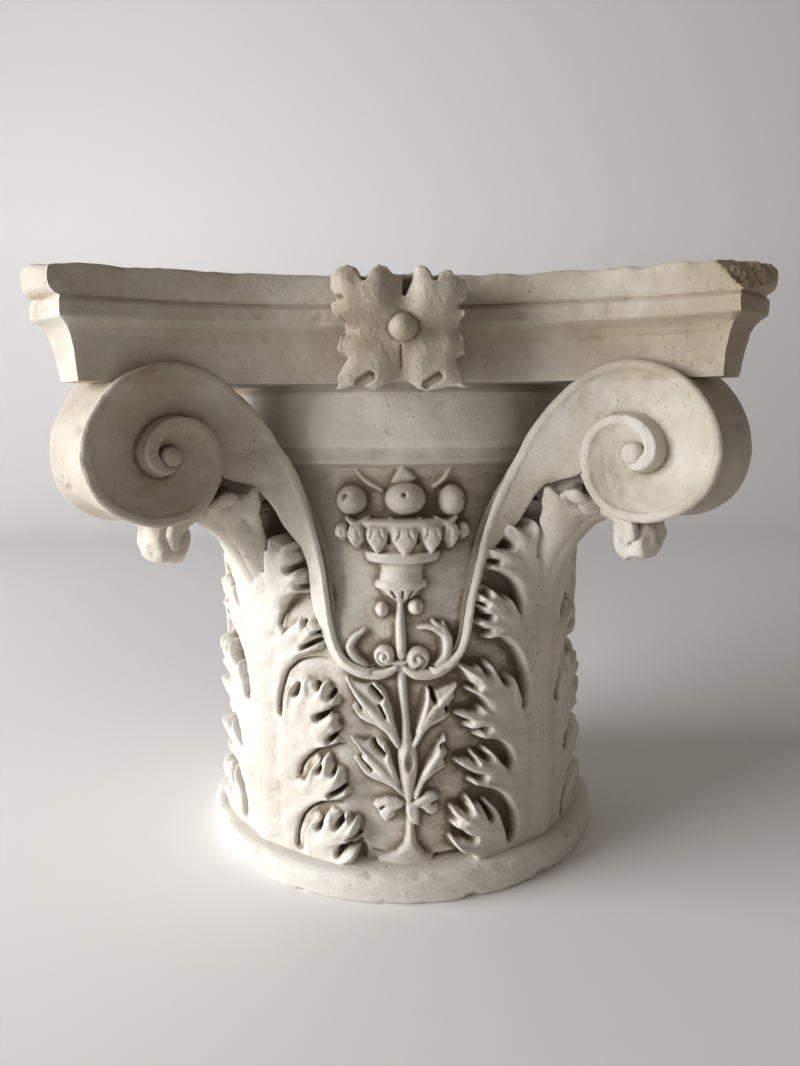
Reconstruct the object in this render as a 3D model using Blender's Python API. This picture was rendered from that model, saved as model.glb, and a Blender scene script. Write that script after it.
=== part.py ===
"""A marble column capital: a ring, a bell clothed in leaves, corner scrolls and a hollow-sided abacus.

Metres, +Z up. The origin is the middle of the underside; a face looks along -Y and the corners stand on
the diagonals. The whole thing is one carved block, so it is one object: plain solids, each overlapping the
bell, joined by a single Boolean union.

Carving is laid out on a face as it would be drawn on paper wrapped round the bell: u runs to the right
from the middle of the face and z runs up, both in millimetres, and r is the distance from the axis.
"""

import math

import bmesh
import bpy
from mathutils import Matrix, Vector

MM = 0.001

# Overall
HEIGHT = 0.340
LEAF_RADIUS = 0.117  # the radius at which the carving is laid out
BELL_RADIUS = 0.1075  # the ground between the carving
GROUND = 0.090  # how far every carved shape reaches into the bell
QUARTER = math.pi / 2
FACES = 4
ROUND_STEPS = 44

# Ring, bell and lip: (radius, height) up the outer side
RING_RADIUS = 0.1296
RING_HEIGHT = 0.0170
LIP_RADIUS = 0.1136
LIP_TOP = 0.2900
BELL_PROFILE = (
    (RING_RADIUS - 0.0020, 0.0),
    (RING_RADIUS, 0.0030),
    (RING_RADIUS, RING_HEIGHT - 0.0060),
    (RING_RADIUS - 0.0030, RING_HEIGHT - 0.0010),
    (BELL_RADIUS + 0.0060, RING_HEIGHT),
    (BELL_RADIUS + 0.0010, RING_HEIGHT + 0.0070),
    (BELL_RADIUS, 0.1500),
    (BELL_RADIUS - 0.0010, 0.2360),
    (BELL_RADIUS, 0.2420),
    (LIP_RADIUS, 0.2446),
    (LIP_RADIUS - 0.0030, 0.2515),
    (LIP_RADIUS, 0.2538),
    (LIP_RADIUS, LIP_TOP),
)

# Abacus: each level is (height, half length to the corner cut, how far out the corners are)
ABACUS_HOLLOW = 0.050  # how deep each side is hollowed
ABACUS_SIDE_STEPS = 6
ABACUS_LEVELS = (
    (0.2860, 0.1505, 0.1636),
    (0.2990, 0.1505, 0.1655),
    (0.3070, 0.1510, 0.1678),
    (0.3137, 0.1520, 0.1741),
    (0.3144, 0.1524, 0.1758),
    (0.3220, 0.1524, 0.1758),
    (0.3235, 0.1524, 0.1735),
    (0.3280, 0.1565, 0.1762),
    (0.3380, 0.1577, 0.1768),
    (HEIGHT, 0.1560, 0.1750),
)

# Corner scrolls, in millimetres: p runs out along the diagonal, s along the scroll's face from its eye
SCROLL_EYE = (184.0, 250.0)  # p and z
SCROLL_OUTER = 227.5  # p of the outermost edge
SCROLL_HALF_WIDTH = 15.0  # half the width of the band there
SCROLL_SPLAY = math.radians(9.4)  # each face leans away from the diagonal
SCROLL_BEND = 0.0007  # and bends back towards the bell inside the eye, per millimetre squared
SCROLL_RADII = (46.0, 44.0, 34.5, 25.7, 19.0, 14.0, 8.5)  # one each quarter turn, from the top and outwards
SCROLL_SWELL = 10.0  # how much wider it is a quarter turn before the top, where the stem comes in
SCROLL_TURN_STEPS = 12
SCROLL_TAIL = ((-34, -14), (-68, -25), (-82, -24))  # the horn's outline inside the eye, (s, height)
RIB_WIDTH = 5.0
RIB_RISE = 3.0

# Stem from a scroll down to its curl on the face: its rib and its outer edge, each as (u, z, r)
STEM = (
    ((56, 237, 127), (80, 229, 126)),
    ((51, 221, 122), (71, 214, 120)),
    ((46, 204, 119), (62, 199, 116)),
    ((40, 180, 118), (50, 177, 114)),
    ((36, 157, 118), (42, 153, 114)),
    ((31, 139, 118), (34, 132, 114)),
    ((20, 128, 118), (20, 122, 114)),
    ((5, 126, 118), (4, 121, 114)),
)
STEM_START = math.radians(170)  # where on the scroll the stem's rib begins
STEM_INSET = 1.2
STEM_EDGE_START = (-33.0, 245.0)
STEM_ROOT = 12.0  # how far the stem's top goes into the scroll

# Corner leaf: its spine as (r, z, half width), and the claws of fingers down each side
LEAF_SPINE = (
    (110, 14, 17),
    (117, 30, 15),
    (119, 80, 13),
    (120, 130, 12),
    (122, 165, 11),
    (127, 188, 11),
    (137, 207, 13),
    (150, 217, 15),
    (164, 218, 15),
)
SPINE_THICK = 9.0
SPINE_FREE_FROM = 5  # the first row at which the leaf stands free of the bell
SPINE_ROOT = 20.0  # how far it reaches into the bell below that
SPINE_EDGE = 2.0  # how much lower its edges lie than its middle
SPINE_FLAT = 0.45  # share of the half width that is flat
SPINE_BACK = 0.8  # half width of its back, as a share of its front's
LEAF_TIP = (174, 207)  # the rounded tip that curls over under the scrolls, (p, z)
LEAF_TIP_SIZE = (12, 14, 13)  # half sizes along p, across it and up
# Each claw of fingers, as (v, z) with v counted from the spine: the eye under it, its finger tips from the
# lowest up, and the eye above it
LEAF_CLAWS = (
    ((14, 14), ((63, 19), (65, 38), (57, 53)), (21, 25)),
    ((20, 27), ((57, 64), (59, 78), (43, 81)), (26, 67)),
    ((26, 70), ((60, 96), (62, 114), (56, 131), (40, 131)), (14, 101)),
    ((14, 105), ((46, 151), (51, 170), (35, 172)), (20, 156)),
    ((20, 160), ((44, 190), (45, 204), (27, 213)), (8, 204)),
)
CLAW_NOTCH = 4.5  # how far the outline dips between fingers
CLAW_INNER = 8.0
CLAW_EDGE = 0.1160
CLAW_TOP = 0.1200
CLAW_RIDGE = 0.5  # how far along from the root the claw stands highest
CLAW_CURVE_STEPS = 3

# Flower in the middle of each side of the abacus: (x, z, half width, half height, front, depth)
FLOWER_PETALS = (
    (-16.5, 325.0, 15.5, 15.0, 163, 18),
    (15.5, 324.5, 15.0, 14.5, 163, 18),
    (-15.5, 298.0, 15.0, 15.5, 150, 13),
    (15.5, 298.0, 15.0, 15.5, 150, 13),
    (0.5, 311.0, 7.5, 7.0, 167, 12),
)
FLOWER_CORE = (40, 50, 48)  # the block the petals grow from
FLOWER_CORE_CENTRE = (0, -121, 310)

# Vase, its three fruits and what it stands on
VASE_CENTRE = 0.104
VASE_DEPTH = 0.55
VASE_STEPS = 10
VASE_PROFILE = (
    (9, 168), (12, 171), (12, 175), (16, 178), (12, 182),
    (13, 190), (25, 195), (31, 201), (31, 208), (20, 214),
)
FRUITS = ((2, 226, 11.5), (-29, 225, 9.5), (30, 225, 9.5))
FRUIT_CENTRE = 0.109  # radius the fruits are set at
# Stalk: (u, z, half width), from the vase down to its spreading foot
STALK = (
    (1.0, 170, 4.0), (0.5, 140, 3.0), (0.5, 110, 3.0), (1.0, 88, 5.5), (2.0, 78, 7.5), (3.0, 60, 4.0),
    (3.0, 42, 3.5), (3.5, 28, 5.0), (4.0, 20, 12.0), (4.0, 10, 19.0),
)
STALK_RADIUS = 0.116
STALK_EDGE = 0.0030  # how much lower its edges lie
STALK_FLAT = 0.4  # share of the half width that is flat
# Side leaves of the stalk: root, tip, half width, rise
STALK_LEAVES = (
    ((2, 88), (-30, 122), 8.0, 0.117),
    ((4, 88), (29, 121), 8.0, 0.117),
    ((2, 58), (-28, 88), 8.0, 0.116),
    ((3, 58), (25, 89), 8.0, 0.116),
    ((-2, 50), (-18, 48), 6.0, 0.114),
    ((6, 50), (21, 52), 5.5, 0.114),
)
CURLS = ((-12, 137, 7.0), (9, 136, 7.5))
CURL_TOP = 0.1165
CURL_STEPS = 8
CURL_TAPER = 0.9

BALL_SEGMENTS = 8
BALL_RINGS = 5
TIP_SEGMENTS = 10
TIP_RINGS = 6

# The corner that has broken off, front right: three points of the break
BREAK = (
    Vector((0.1422, -0.1666, 0.3400)),
    Vector((0.1524, -0.1758, 0.3225)),
    Vector((0.1728, -0.1577, 0.3370)),
)
BREAK_SPREAD = 1.8  # the cutter is this much wider than the three points
BREAK_DEPTH = 0.03

WELD_DISTANCE = 0.00005
THIN_RATIO = 0.66


def on_bell(u, z, r):
    """A point of the face's drawing, wrapped round the bell."""
    angle = u * MM / LEAF_RADIUS
    return Vector((r * math.sin(angle), -r * math.cos(angle), z * MM))


def on_diagonal(p, q, z):
    """A point beside the front right diagonal: p out from the axis, q across it, all in millimetres."""
    return Vector(((p + q) * MM, (q - p) * MM, z * math.sqrt(2) * MM)) / math.sqrt(2)


def new_object(name, bm, collection):
    bmesh.ops.recalc_face_normals(bm, faces=bm.faces)
    mesh = bpy.data.meshes.new(name)
    bm.to_mesh(mesh)
    bm.free()
    item = bpy.data.objects.new(name, mesh)
    collection.objects.link(item)
    return item


def loft(loops):
    """A solid through loops of equal length."""
    bm = bmesh.new()
    rings = [[bm.verts.new(point) for point in loop] for loop in loops]
    for lower, upper in zip(rings, rings[1:]):
        for i in range(len(lower)):
            j = (i + 1) % len(lower)
            bm.faces.new((lower[i], lower[j], upper[j], upper[i]))
    bm.faces.new(reversed(rings[0]))
    bm.faces.new(rings[-1])
    return bm


def turned(profile, steps):
    """A solid turned round Z from (radius, height) points."""
    loops = []
    for radius, height in profile:
        angles = (2 * math.pi * i / steps for i in range(steps))
        loops.append([(radius * math.cos(a), radius * math.sin(a), height) for a in angles])
    return loft(loops)


def round_the_faces(name, bm, collection, mirrored=False):
    """Four copies of a shape made on the front face, and their mirror images if asked."""
    first = new_object(name, bm, collection)
    turns = [Matrix.Rotation(QUARTER * i, 4, "Z") for i in range(FACES)]
    for i, turn in enumerate(turns):
        copy = first if i == 0 else first.copy()
        if i:
            collection.objects.link(copy)
        copy.matrix_world = turn
    if mirrored:
        flipped = first.data.copy()
        flipped.transform(Matrix.Scale(-1, 4, Vector((1, 0, 0))))
        flipped.flip_normals()
        for turn in turns:
            copy = bpy.data.objects.new(name + "_mirrored", flipped)
            copy.matrix_world = turn
            collection.objects.link(copy)


def abacus_loop(height, along, out):
    """One level of the abacus: four hollow sides joined by the cut corners."""
    radius = (along**2 + ABACUS_HOLLOW**2) / (2 * ABACUS_HOLLOW)
    loop = []
    for side in range(FACES):
        turn = Matrix.Rotation(QUARTER * side, 3, "Z")
        for i in range(ABACUS_SIDE_STEPS + 1):
            x = along * (2 * i / ABACUS_SIDE_STEPS - 1)
            y = radius - math.sqrt(radius**2 - x**2) + out - ABACUS_HOLLOW
            loop.append(turn @ Vector((x, -y, height)))
    return loop


def scroll_radius(angle):
    """Distance of the scroll's outer edge from its eye. The angle falls as the scroll winds in."""
    quarters = (QUARTER - angle) / QUARTER
    if quarters < 0:
        return SCROLL_RADII[0] - SCROLL_SWELL * quarters**3
    i = min(int(quarters), len(SCROLL_RADII) - 2)
    part = quarters - i
    return SCROLL_RADII[i] * (1 - part) + SCROLL_RADII[i + 1] * part


def scroll_face(s, z, rise):
    """A point of the scroll's face on the front side of the diagonal, raised off it by rise."""
    p = SCROLL_EYE[0] + s * math.cos(SCROLL_SPLAY)
    q = SCROLL_HALF_WIDTH + (SCROLL_OUTER - p) * math.tan(SCROLL_SPLAY)
    q -= SCROLL_BEND * max(SCROLL_EYE[0] - p, 0) ** 2
    return on_diagonal(p, -q - rise, z)


def scroll_point(angle, inset, rise):
    radius = scroll_radius(angle) - inset
    return scroll_face(radius * math.cos(angle), SCROLL_EYE[1] + radius * math.sin(angle), rise)


def scroll_side(bm, place):
    """One carved face of a scroll: a rib winding in to the eye, with a hollow between its turns.

    place moves a point to the side of the horn that is being made. Returns the face's outer edge.
    """
    last = SCROLL_TURN_STEPS * len(SCROLL_RADII) // 4
    edges, tops, feet, outer_feet = [], [], [], []
    for i in range(last + 1):
        angle = math.pi - 2 * math.pi * i / SCROLL_TURN_STEPS
        edges.append(bm.verts.new(place @ scroll_point(angle, 0, RIB_RISE - 1)))
        tops.append(bm.verts.new(place @ scroll_point(angle, RIB_WIDTH, RIB_RISE)))
        feet.append(bm.verts.new(place @ scroll_point(angle, RIB_WIDTH + 1.5, 0)))
        inner_turn = i >= SCROLL_TURN_STEPS
        outer_feet.append(bm.verts.new(place @ scroll_point(angle, -0.8, 0)) if inner_turn else None)
    eye = bm.verts.new(place @ scroll_face(0, SCROLL_EYE[1], RIB_RISE + 1))
    for i in range(last):
        bm.faces.new((edges[i], edges[i + 1], tops[i + 1], tops[i]))
        bm.faces.new((tops[i], tops[i + 1], feet[i + 1], feet[i]))
        if outer_feet[i]:
            bm.faces.new((outer_feet[i], outer_feet[i + 1], edges[i + 1], edges[i]))
        turn = i + SCROLL_TURN_STEPS
        if turn < last:
            bm.faces.new((feet[i], feet[i + 1], outer_feet[turn + 1], outer_feet[turn]))
    open_from = last - SCROLL_TURN_STEPS
    for i in range(open_from + 1, last):
        bm.faces.new((feet[i], feet[i + 1], eye))
    rib_end = (feet[last], tops[last], edges[last], outer_feet[last])
    bm.faces.new((feet[open_from + 1], eye, *rib_end, feet[open_from]))
    tail = [bm.verts.new(place @ scroll_face(s, SCROLL_EYE[1] + up, 0)) for s, up in SCROLL_TAIL]
    whole = SCROLL_TURN_STEPS
    bm.faces.new([edges[0], tops[0], feet[0], outer_feet[whole], edges[whole]] + tail)
    return edges[: whole + 1] + tail


def scroll():
    """The horn at a corner: two scroll faces and the band between them, running back into the bell."""
    bm = bmesh.new()
    front = scroll_side(bm, Matrix.Identity(3))
    side = scroll_side(bm, Matrix(((0, -1, 0), (-1, 0, 0), (0, 0, 1))))
    for i in range(len(front)):
        j = (i + 1) % len(front)
        bm.faces.new((front[i], front[j], side[j], side[i]))
    return bm


def stem():
    """The stem's band, from the scroll to its curl: a rib that sinks to an outer edge."""
    root = (scroll_face(0, 0, 0) - scroll_face(0, 0, 1)).normalized() * STEM_ROOT * MM
    rib_top = scroll_point(STEM_START, STEM_INSET, RIB_RISE)
    edge_top = scroll_face(*STEM_EDGE_START, 0)
    loops = [[rib_top + root, rib_top, edge_top, edge_top + root]]
    for (rib_u, rib_z, rib_r), (edge_u, edge_z, edge_r) in STEM:
        loops.append([
            on_bell(rib_u, rib_z, GROUND),
            on_bell(rib_u, rib_z, rib_r * MM),
            on_bell(edge_u, edge_z, edge_r * MM),
            on_bell(edge_u, edge_z, GROUND),
        ])
    return loft(loops)


def leaf_spine():
    """The middle of a corner leaf, climbing the bell and curling over under the scrolls."""
    loops = []
    for i, (r, z, half) in enumerate(LEAF_SPINE):
        before, after = LEAF_SPINE[max(i - 1, 0)], LEAF_SPINE[min(i + 1, len(LEAF_SPINE) - 1)]
        along = Vector((after[0] - before[0], after[1] - before[1])).normalized()
        back = Vector((-along.y, along.x)) * SPINE_THICK
        deep = back if i >= SPINE_FREE_FROM else Vector((-SPINE_ROOT, 0))
        flat, edge = half * SPINE_FLAT, back * SPINE_EDGE / SPINE_THICK
        loop = []
        for q, sink in ((-half, edge), (-flat, Vector((0, 0))), (flat, Vector((0, 0))), (half, edge)):
            loop.append(on_diagonal(r + sink.x, q, z + sink.y))
        for q in (half * SPINE_BACK, -half * SPINE_BACK):
            loop.append(on_diagonal(r + deep.x, q, z + deep.y))
        loops.append(loop)
    return loft(loops)


def leaf_tip():
    bm = bmesh.new()
    bmesh.ops.create_uvsphere(bm, u_segments=TIP_SEGMENTS, v_segments=TIP_RINGS, radius=1)
    bmesh.ops.scale(bm, verts=bm.verts, vec=Vector(LEAF_TIP_SIZE) * MM)
    bmesh.ops.rotate(bm, verts=bm.verts, matrix=Matrix.Rotation(-math.pi / 4, 3, "Z"))
    bmesh.ops.translate(bm, verts=bm.verts, vec=on_diagonal(LEAF_TIP[0], 0, LEAF_TIP[1]))
    return bm


def quarter_curve(start, end, steps):
    """Points from start, leaving it straight up, to end, reaching it level, without end itself."""
    points = []
    for i in range(steps):
        angle = QUARTER * i / steps
        v = start.x + (end.x - start.x) * (1 - math.cos(angle))
        z = start.y + (end.y - start.y) * math.sin(angle)
        points.append(Vector((v, z)))
    return points


def claw(eye_below, tips, eye_above):
    """A claw of fingers beside the spine of the corner leaf, its edges curving away from the eyes."""
    spine_u = math.pi / 4 * LEAF_RADIUS / MM
    below, above = Vector(eye_below), Vector(eye_above)
    tips = [Vector(tip) for tip in tips]
    root = Vector((CLAW_INNER, 0.5 * (below.y + above.y)))
    outline = [Vector((CLAW_INNER, below.y))] + quarter_curve(below, tips[0], CLAW_CURVE_STEPS)
    for tip, after in zip(tips, tips[1:]):
        dip = (tip + after) / 2
        outline += [tip, dip - (dip - root).normalized() * CLAW_NOTCH]
    outline += [tips[-1]] + quarter_curve(above, tips[-1], CLAW_CURVE_STEPS)[::-1]
    outline += [Vector((CLAW_INNER, above.y))]
    bm = loft([[on_bell(spine_u - v, z, radius) for v, z in outline] for radius in (GROUND, CLAW_EDGE)])
    bm.faces.ensure_lookup_table()
    front = bm.faces[-1]
    ridge = root.lerp((tips[0] + tips[-1]) / 2, CLAW_RIDGE)
    bmesh.ops.poke(bm, faces=[front], offset=0)
    bm.verts.ensure_lookup_table()
    bm.verts[-1].co = on_bell(spine_u - ridge.x, ridge.y, CLAW_TOP)
    return bm


def petal(x, z, half_width, half_height, front, depth):
    """A rounded lump of the abacus flower."""
    bm = bmesh.new()
    bmesh.ops.create_uvsphere(bm, u_segments=BALL_SEGMENTS, v_segments=BALL_RINGS, radius=1)
    bmesh.ops.scale(bm, verts=bm.verts, vec=Vector((half_width, depth, half_height)) * MM)
    bmesh.ops.translate(bm, verts=bm.verts, vec=Vector((x, depth - front, z)) * MM)
    for vert in bm.verts:
        vert.co.z = min(vert.co.z, HEIGHT)
    return bm


def flower_core():
    """What the flower's petals grow from, back to the abacus."""
    bm = bmesh.new()
    bmesh.ops.create_cube(bm, size=1)
    bmesh.ops.scale(bm, verts=bm.verts, vec=Vector(FLOWER_CORE) * MM)
    bmesh.ops.translate(bm, verts=bm.verts, vec=Vector(FLOWER_CORE_CENTRE) * MM)
    return bm


def vase():
    bm = turned([(radius * MM, height * MM) for radius, height in VASE_PROFILE], VASE_STEPS)
    bmesh.ops.scale(bm, verts=bm.verts, vec=Vector((1, VASE_DEPTH, 1)))
    bmesh.ops.translate(bm, verts=bm.verts, vec=Vector((0, -VASE_CENTRE, 0)))
    return bm


def ball(u, z, radius):
    bm = bmesh.new()
    bmesh.ops.create_uvsphere(bm, u_segments=BALL_SEGMENTS, v_segments=BALL_RINGS, radius=radius * MM)
    bmesh.ops.translate(bm, verts=bm.verts, vec=on_bell(u, z, FRUIT_CENTRE))
    return bm


def stalk():
    """The stalk under the vase, its trunk and its foot."""
    loops = []
    for u, z, half in STALK:
        flat, edge = half * STALK_FLAT, STALK_RADIUS - STALK_EDGE
        loops.append([
            on_bell(u - half, z, GROUND),
            on_bell(u - half, z, edge),
            on_bell(u - flat, z, STALK_RADIUS),
            on_bell(u + flat, z, STALK_RADIUS),
            on_bell(u + half, z, edge),
            on_bell(u + half, z, GROUND),
        ])
    return loft(loops)


def stalk_leaf(root, tip, half, rise):
    """A small leaf beside the stalk: three-pointed, arching out from root to tip."""
    start, end = Vector(root), Vector(tip)
    along = (end - start).normalized()
    out = Vector((along.y, -along.x)) * (1 if end.x > start.x else -1)
    length = (end - start).length
    outline = [
        start - out * 2,
        start + along * 0.50 * length + out * half * 1.1,
        end + out * half * 0.3,
        start + along * 0.75 * length - out * half * 0.3,
        end - out * half * 1.2 - along * 0.12 * length,
        start + along * 0.45 * length - out * half * 0.7,
    ]
    return loft([[on_bell(u, z, radius) for u, z in outline] for radius in (GROUND, rise)])


def curl(u, z, radius):
    """The curl that ends a stem."""
    loops = []
    for reach, top in ((radius, GROUND), (radius * CURL_TAPER, CURL_TOP)):
        angles = (2 * math.pi * i / CURL_STEPS for i in range(CURL_STEPS))
        loops.append([on_bell(u + reach * math.cos(a), z + reach * math.sin(a), top) for a in angles])
    return loft(loops)


def broken_corner():
    """The missing block: everything outside the break at that corner of the abacus."""
    middle = sum(BREAK, Vector()) / len(BREAK)
    out = (BREAK[1] - BREAK[0]).cross(BREAK[2] - BREAK[0]).normalized()
    inner = [middle + (point - middle) * BREAK_SPREAD for point in BREAK]
    return loft([inner, [point + out * BREAK_DEPTH for point in inner]])


def marble():
    stone = bpy.data.materials.new("marble")
    stone.use_nodes = True
    shader = stone.node_tree.nodes["Principled BSDF"]
    shader.inputs["Base Color"].default_value = (0.56, 0.50, 0.42, 1)
    shader.inputs["Roughness"].default_value = 0.62
    shader.inputs["Metallic"].default_value = 0.0
    return stone


def carve_all(carving):
    """Every shape that is joined to the bell."""
    new_object("abacus", loft([abacus_loop(*level) for level in ABACUS_LEVELS]), carving)
    round_the_faces("scroll", scroll(), carving)
    round_the_faces("stem", stem(), carving, mirrored=True)
    round_the_faces("leaf_spine", leaf_spine(), carving)
    round_the_faces("leaf_tip", leaf_tip(), carving)
    for i, sizes in enumerate(LEAF_CLAWS):
        round_the_faces(f"claw_{i}", claw(*sizes), carving, mirrored=True)
    for i, sizes in enumerate(FLOWER_PETALS):
        round_the_faces(f"petal_{i}", petal(*sizes), carving)
    round_the_faces("flower_core", flower_core(), carving)
    round_the_faces("vase", vase(), carving)
    for i, sizes in enumerate(FRUITS):
        round_the_faces(f"fruit_{i}", ball(*sizes), carving)
    round_the_faces("stalk", stalk(), carving)
    for i, sizes in enumerate(STALK_LEAVES):
        round_the_faces(f"stalk_leaf_{i}", stalk_leaf(*sizes), carving)
    for i, sizes in enumerate(CURLS):
        round_the_faces(f"curl_{i}", curl(*sizes), carving)


def main():
    for item in list(bpy.data.objects):
        bpy.data.objects.remove(item, do_unlink=True)
    scene = bpy.context.scene.collection
    carving = bpy.data.collections.new("carving")
    scene.children.link(carving)
    carve_all(carving)
    for item in carving.objects:
        item.hide_render = True
        item.display_type = "WIRE"
    capital = new_object("capital", turned(BELL_PROFILE, ROUND_STEPS), scene)
    capital.data.materials.append(marble())
    join = capital.modifiers.new("join", "BOOLEAN")
    join.operation = "UNION"
    join.operand_type = "COLLECTION"
    join.collection = carving
    join.solver = "EXACT"
    missing = new_object("broken_corner", broken_corner(), scene)
    missing.hide_render = True
    missing.display_type = "WIRE"
    snap = capital.modifiers.new("broken_corner", "BOOLEAN")
    snap.object = missing
    snap.operation = "DIFFERENCE"
    snap.solver = "EXACT"
    weld = capital.modifiers.new("weld", "WELD")
    weld.merge_threshold = WELD_DISTANCE
    thin = capital.modifiers.new("thin", "DECIMATE")
    thin.ratio = THIN_RATIO
    thin.use_collapse_triangulate = True


main()
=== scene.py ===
import math

import bmesh
import bpy
import numpy as np
from mathutils import Matrix, Vector


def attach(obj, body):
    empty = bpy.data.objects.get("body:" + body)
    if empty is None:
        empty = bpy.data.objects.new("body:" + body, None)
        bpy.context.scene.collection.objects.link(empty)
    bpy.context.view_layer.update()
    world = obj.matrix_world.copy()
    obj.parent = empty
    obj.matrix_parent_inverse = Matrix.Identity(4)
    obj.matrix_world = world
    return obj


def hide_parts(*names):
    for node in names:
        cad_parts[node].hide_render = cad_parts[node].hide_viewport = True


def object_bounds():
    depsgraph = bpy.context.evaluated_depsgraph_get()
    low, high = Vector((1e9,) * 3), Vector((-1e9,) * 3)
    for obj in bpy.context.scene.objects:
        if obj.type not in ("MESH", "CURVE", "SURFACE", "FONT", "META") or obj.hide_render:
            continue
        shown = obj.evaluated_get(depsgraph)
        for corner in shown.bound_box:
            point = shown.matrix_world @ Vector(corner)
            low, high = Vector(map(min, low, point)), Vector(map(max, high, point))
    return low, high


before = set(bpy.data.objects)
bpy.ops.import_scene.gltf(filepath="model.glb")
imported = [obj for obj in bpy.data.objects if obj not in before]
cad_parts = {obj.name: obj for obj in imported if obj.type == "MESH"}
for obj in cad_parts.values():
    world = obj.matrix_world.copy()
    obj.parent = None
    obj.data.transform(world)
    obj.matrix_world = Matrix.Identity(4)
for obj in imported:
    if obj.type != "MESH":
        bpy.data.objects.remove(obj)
cadLow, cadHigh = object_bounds()
print("frame loaded")

# Lengths are in millimetres until a mesh is made. A face of the capital is drawn flat, as on paper wrapped
# round the bell: u runs to the right from the middle of the face, z runs up, and top is the distance from
# the axis. The front face looks along -Y. Randomness is seeded, so each run gives the same stone.
mm = 0.001
wrapRadius = 117.0
cornerAt = math.pi / 4 * wrapRadius  # how far the corner is from the middle of a face, in u
quarterTurn = math.pi / 2
weldDistance = 0.00002
fine = 1.0  # how many times coarser than the finished meshes


def limit(x):
    # kept between 0 and 1
    return np.clip(x, 0, 1)


def smoothStep(x):
    x = limit(x)
    return x * x * (3 - 2 * x)


def softMax(a, b, k):
    k = np.maximum(k, 1e-6)
    h = limit(0.5 + 0.5 * (b - a) / k)
    return b * h + a * (1 - h) + k * h * (1 - h)


def bendThrough(rows, steps=6):
    # a smooth line through rows of numbers
    rows = np.array(rows, float)
    padded = np.vstack([2 * rows[0] - rows[1], rows, 2 * rows[-1] - rows[-2]])
    line = []
    for i in range(len(rows) - 1):
        a, b, c, d = padded[i:i + 4]
        for k in range(steps):
            t = k / steps
            line.append(0.5 * (2 * b + (c - a) * t + (2 * a - 5 * b + 4 * c - d) * t**2
                               + (3 * b - a - 3 * c + d) * t**3))
    line.append(rows[-1])
    return np.array(line)


def alongLine(line, share):
    # the point of a dense line at each share of its rows
    place = limit(share) * (len(line) - 1)
    i = np.minimum(place.astype(int), len(line) - 2)
    part = (place - i)[..., None]
    return line[i] * (1 - part) + line[i + 1] * part


def waviness(points, size, seed, waves=14):
    # soft random relief between about -1 and 1; points are rows of x, y, z in millimetres
    draw = np.random.default_rng(seed)
    total = np.zeros(len(points))
    for _ in range(waves):
        direction = draw.normal(size=3)
        direction *= 2 * math.pi / (size * draw.uniform(0.7, 1.5) * np.linalg.norm(direction))
        total += np.sin(points @ direction + draw.uniform(0, 2 * math.pi))
    return total / math.sqrt(waves / 2) / 1.6


def ripples(points, *waves):
    # waviness of several sizes at once, each as (share, size, seed)
    return sum(share * waviness(points, size, seed) for share, size, seed in waves)


def boxBlur(field, cells):
    # three box blurs in a row, close to a round one
    cells = max(int(cells), 1)
    for axis in (0, 1, 0, 1, 0, 1):
        pad = [(0, 0), (0, 0)]
        pad[axis] = (cells + 1, cells)
        total = np.cumsum(np.pad(field, pad, mode="edge"), axis=axis)
        count = field.shape[axis]
        high = np.take(total, range(2 * cells + 1, 2 * cells + 1 + count), axis=axis)
        low = np.take(total, range(0, count), axis=axis)
        field = (high - low) / (2 * cells + 1)
    return field


def fillClefts(field, reach):
    # hollows narrower than twice the reach, in cells, are filled up to their rims
    steps = range(-reach, reach + 1)
    shifts = [(i, j) for i in steps for j in steps if i * i + j * j <= reach * reach + 1]
    rows, columns = field.shape
    for pick in (np.maximum, np.minimum):
        padded = np.pad(field, reach, mode="edge")
        for i, j in shifts:
            field = pick(field, padded[reach + i:reach + i + rows, reach + j:reach + j + columns])
    return field


def onBell(u, z, r):
    angle = np.asarray(u) / wrapRadius
    return np.stack([r * np.sin(angle), -r * np.cos(angle), np.broadcast_to(z, angle.shape)], axis=-1)


def onDiagonal(p, q, z):
    # beside the front right diagonal: p out from the axis, q across it
    p, q, z = np.broadcast_arrays(np.asarray(p, float), q, z)
    return np.stack([(p + q) / math.sqrt(2), (q - p) / math.sqrt(2), z], axis=-1)


def gridMesh(across, up):
    # a flat grid and each point's share of the way across and up it
    bm = bmesh.new()
    bmesh.ops.create_grid(bm, x_segments=across, y_segments=up, size=0.5)
    mesh = bpy.data.meshes.new("grid")
    bm.to_mesh(mesh)
    bm.free()
    flat = np.empty(len(mesh.vertices) * 3)
    mesh.vertices.foreach_get("co", flat)
    flat = flat.reshape(-1, 3)
    share = (flat - flat.min(axis=0)) / np.maximum(flat.max(axis=0) - flat.min(axis=0), 1e-9)
    return mesh, share[:, 0], share[:, 1]


def setPoints(mesh, points):
    mesh.vertices.foreach_set("co", (np.asarray(points) * mm).astype(np.float32).ravel())
    mesh.update()


def getPoints(mesh):
    flat = np.empty(len(mesh.vertices) * 3)
    mesh.vertices.foreach_get("co", flat)
    return flat.reshape(-1, 3) / mm


def setMask(mesh, name, values):
    layer = mesh.attributes.get(name) or mesh.attributes.new(name, "FLOAT", "POINT")
    layer.data.foreach_set("value", limit(values).astype(np.float32))


def worked(mesh, work):
    # the mesh after some work on it as a bmesh
    bm = bmesh.new()
    bm.from_mesh(mesh)
    work(bm)
    bm.to_mesh(mesh)
    bm.free()
    return mesh


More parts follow.
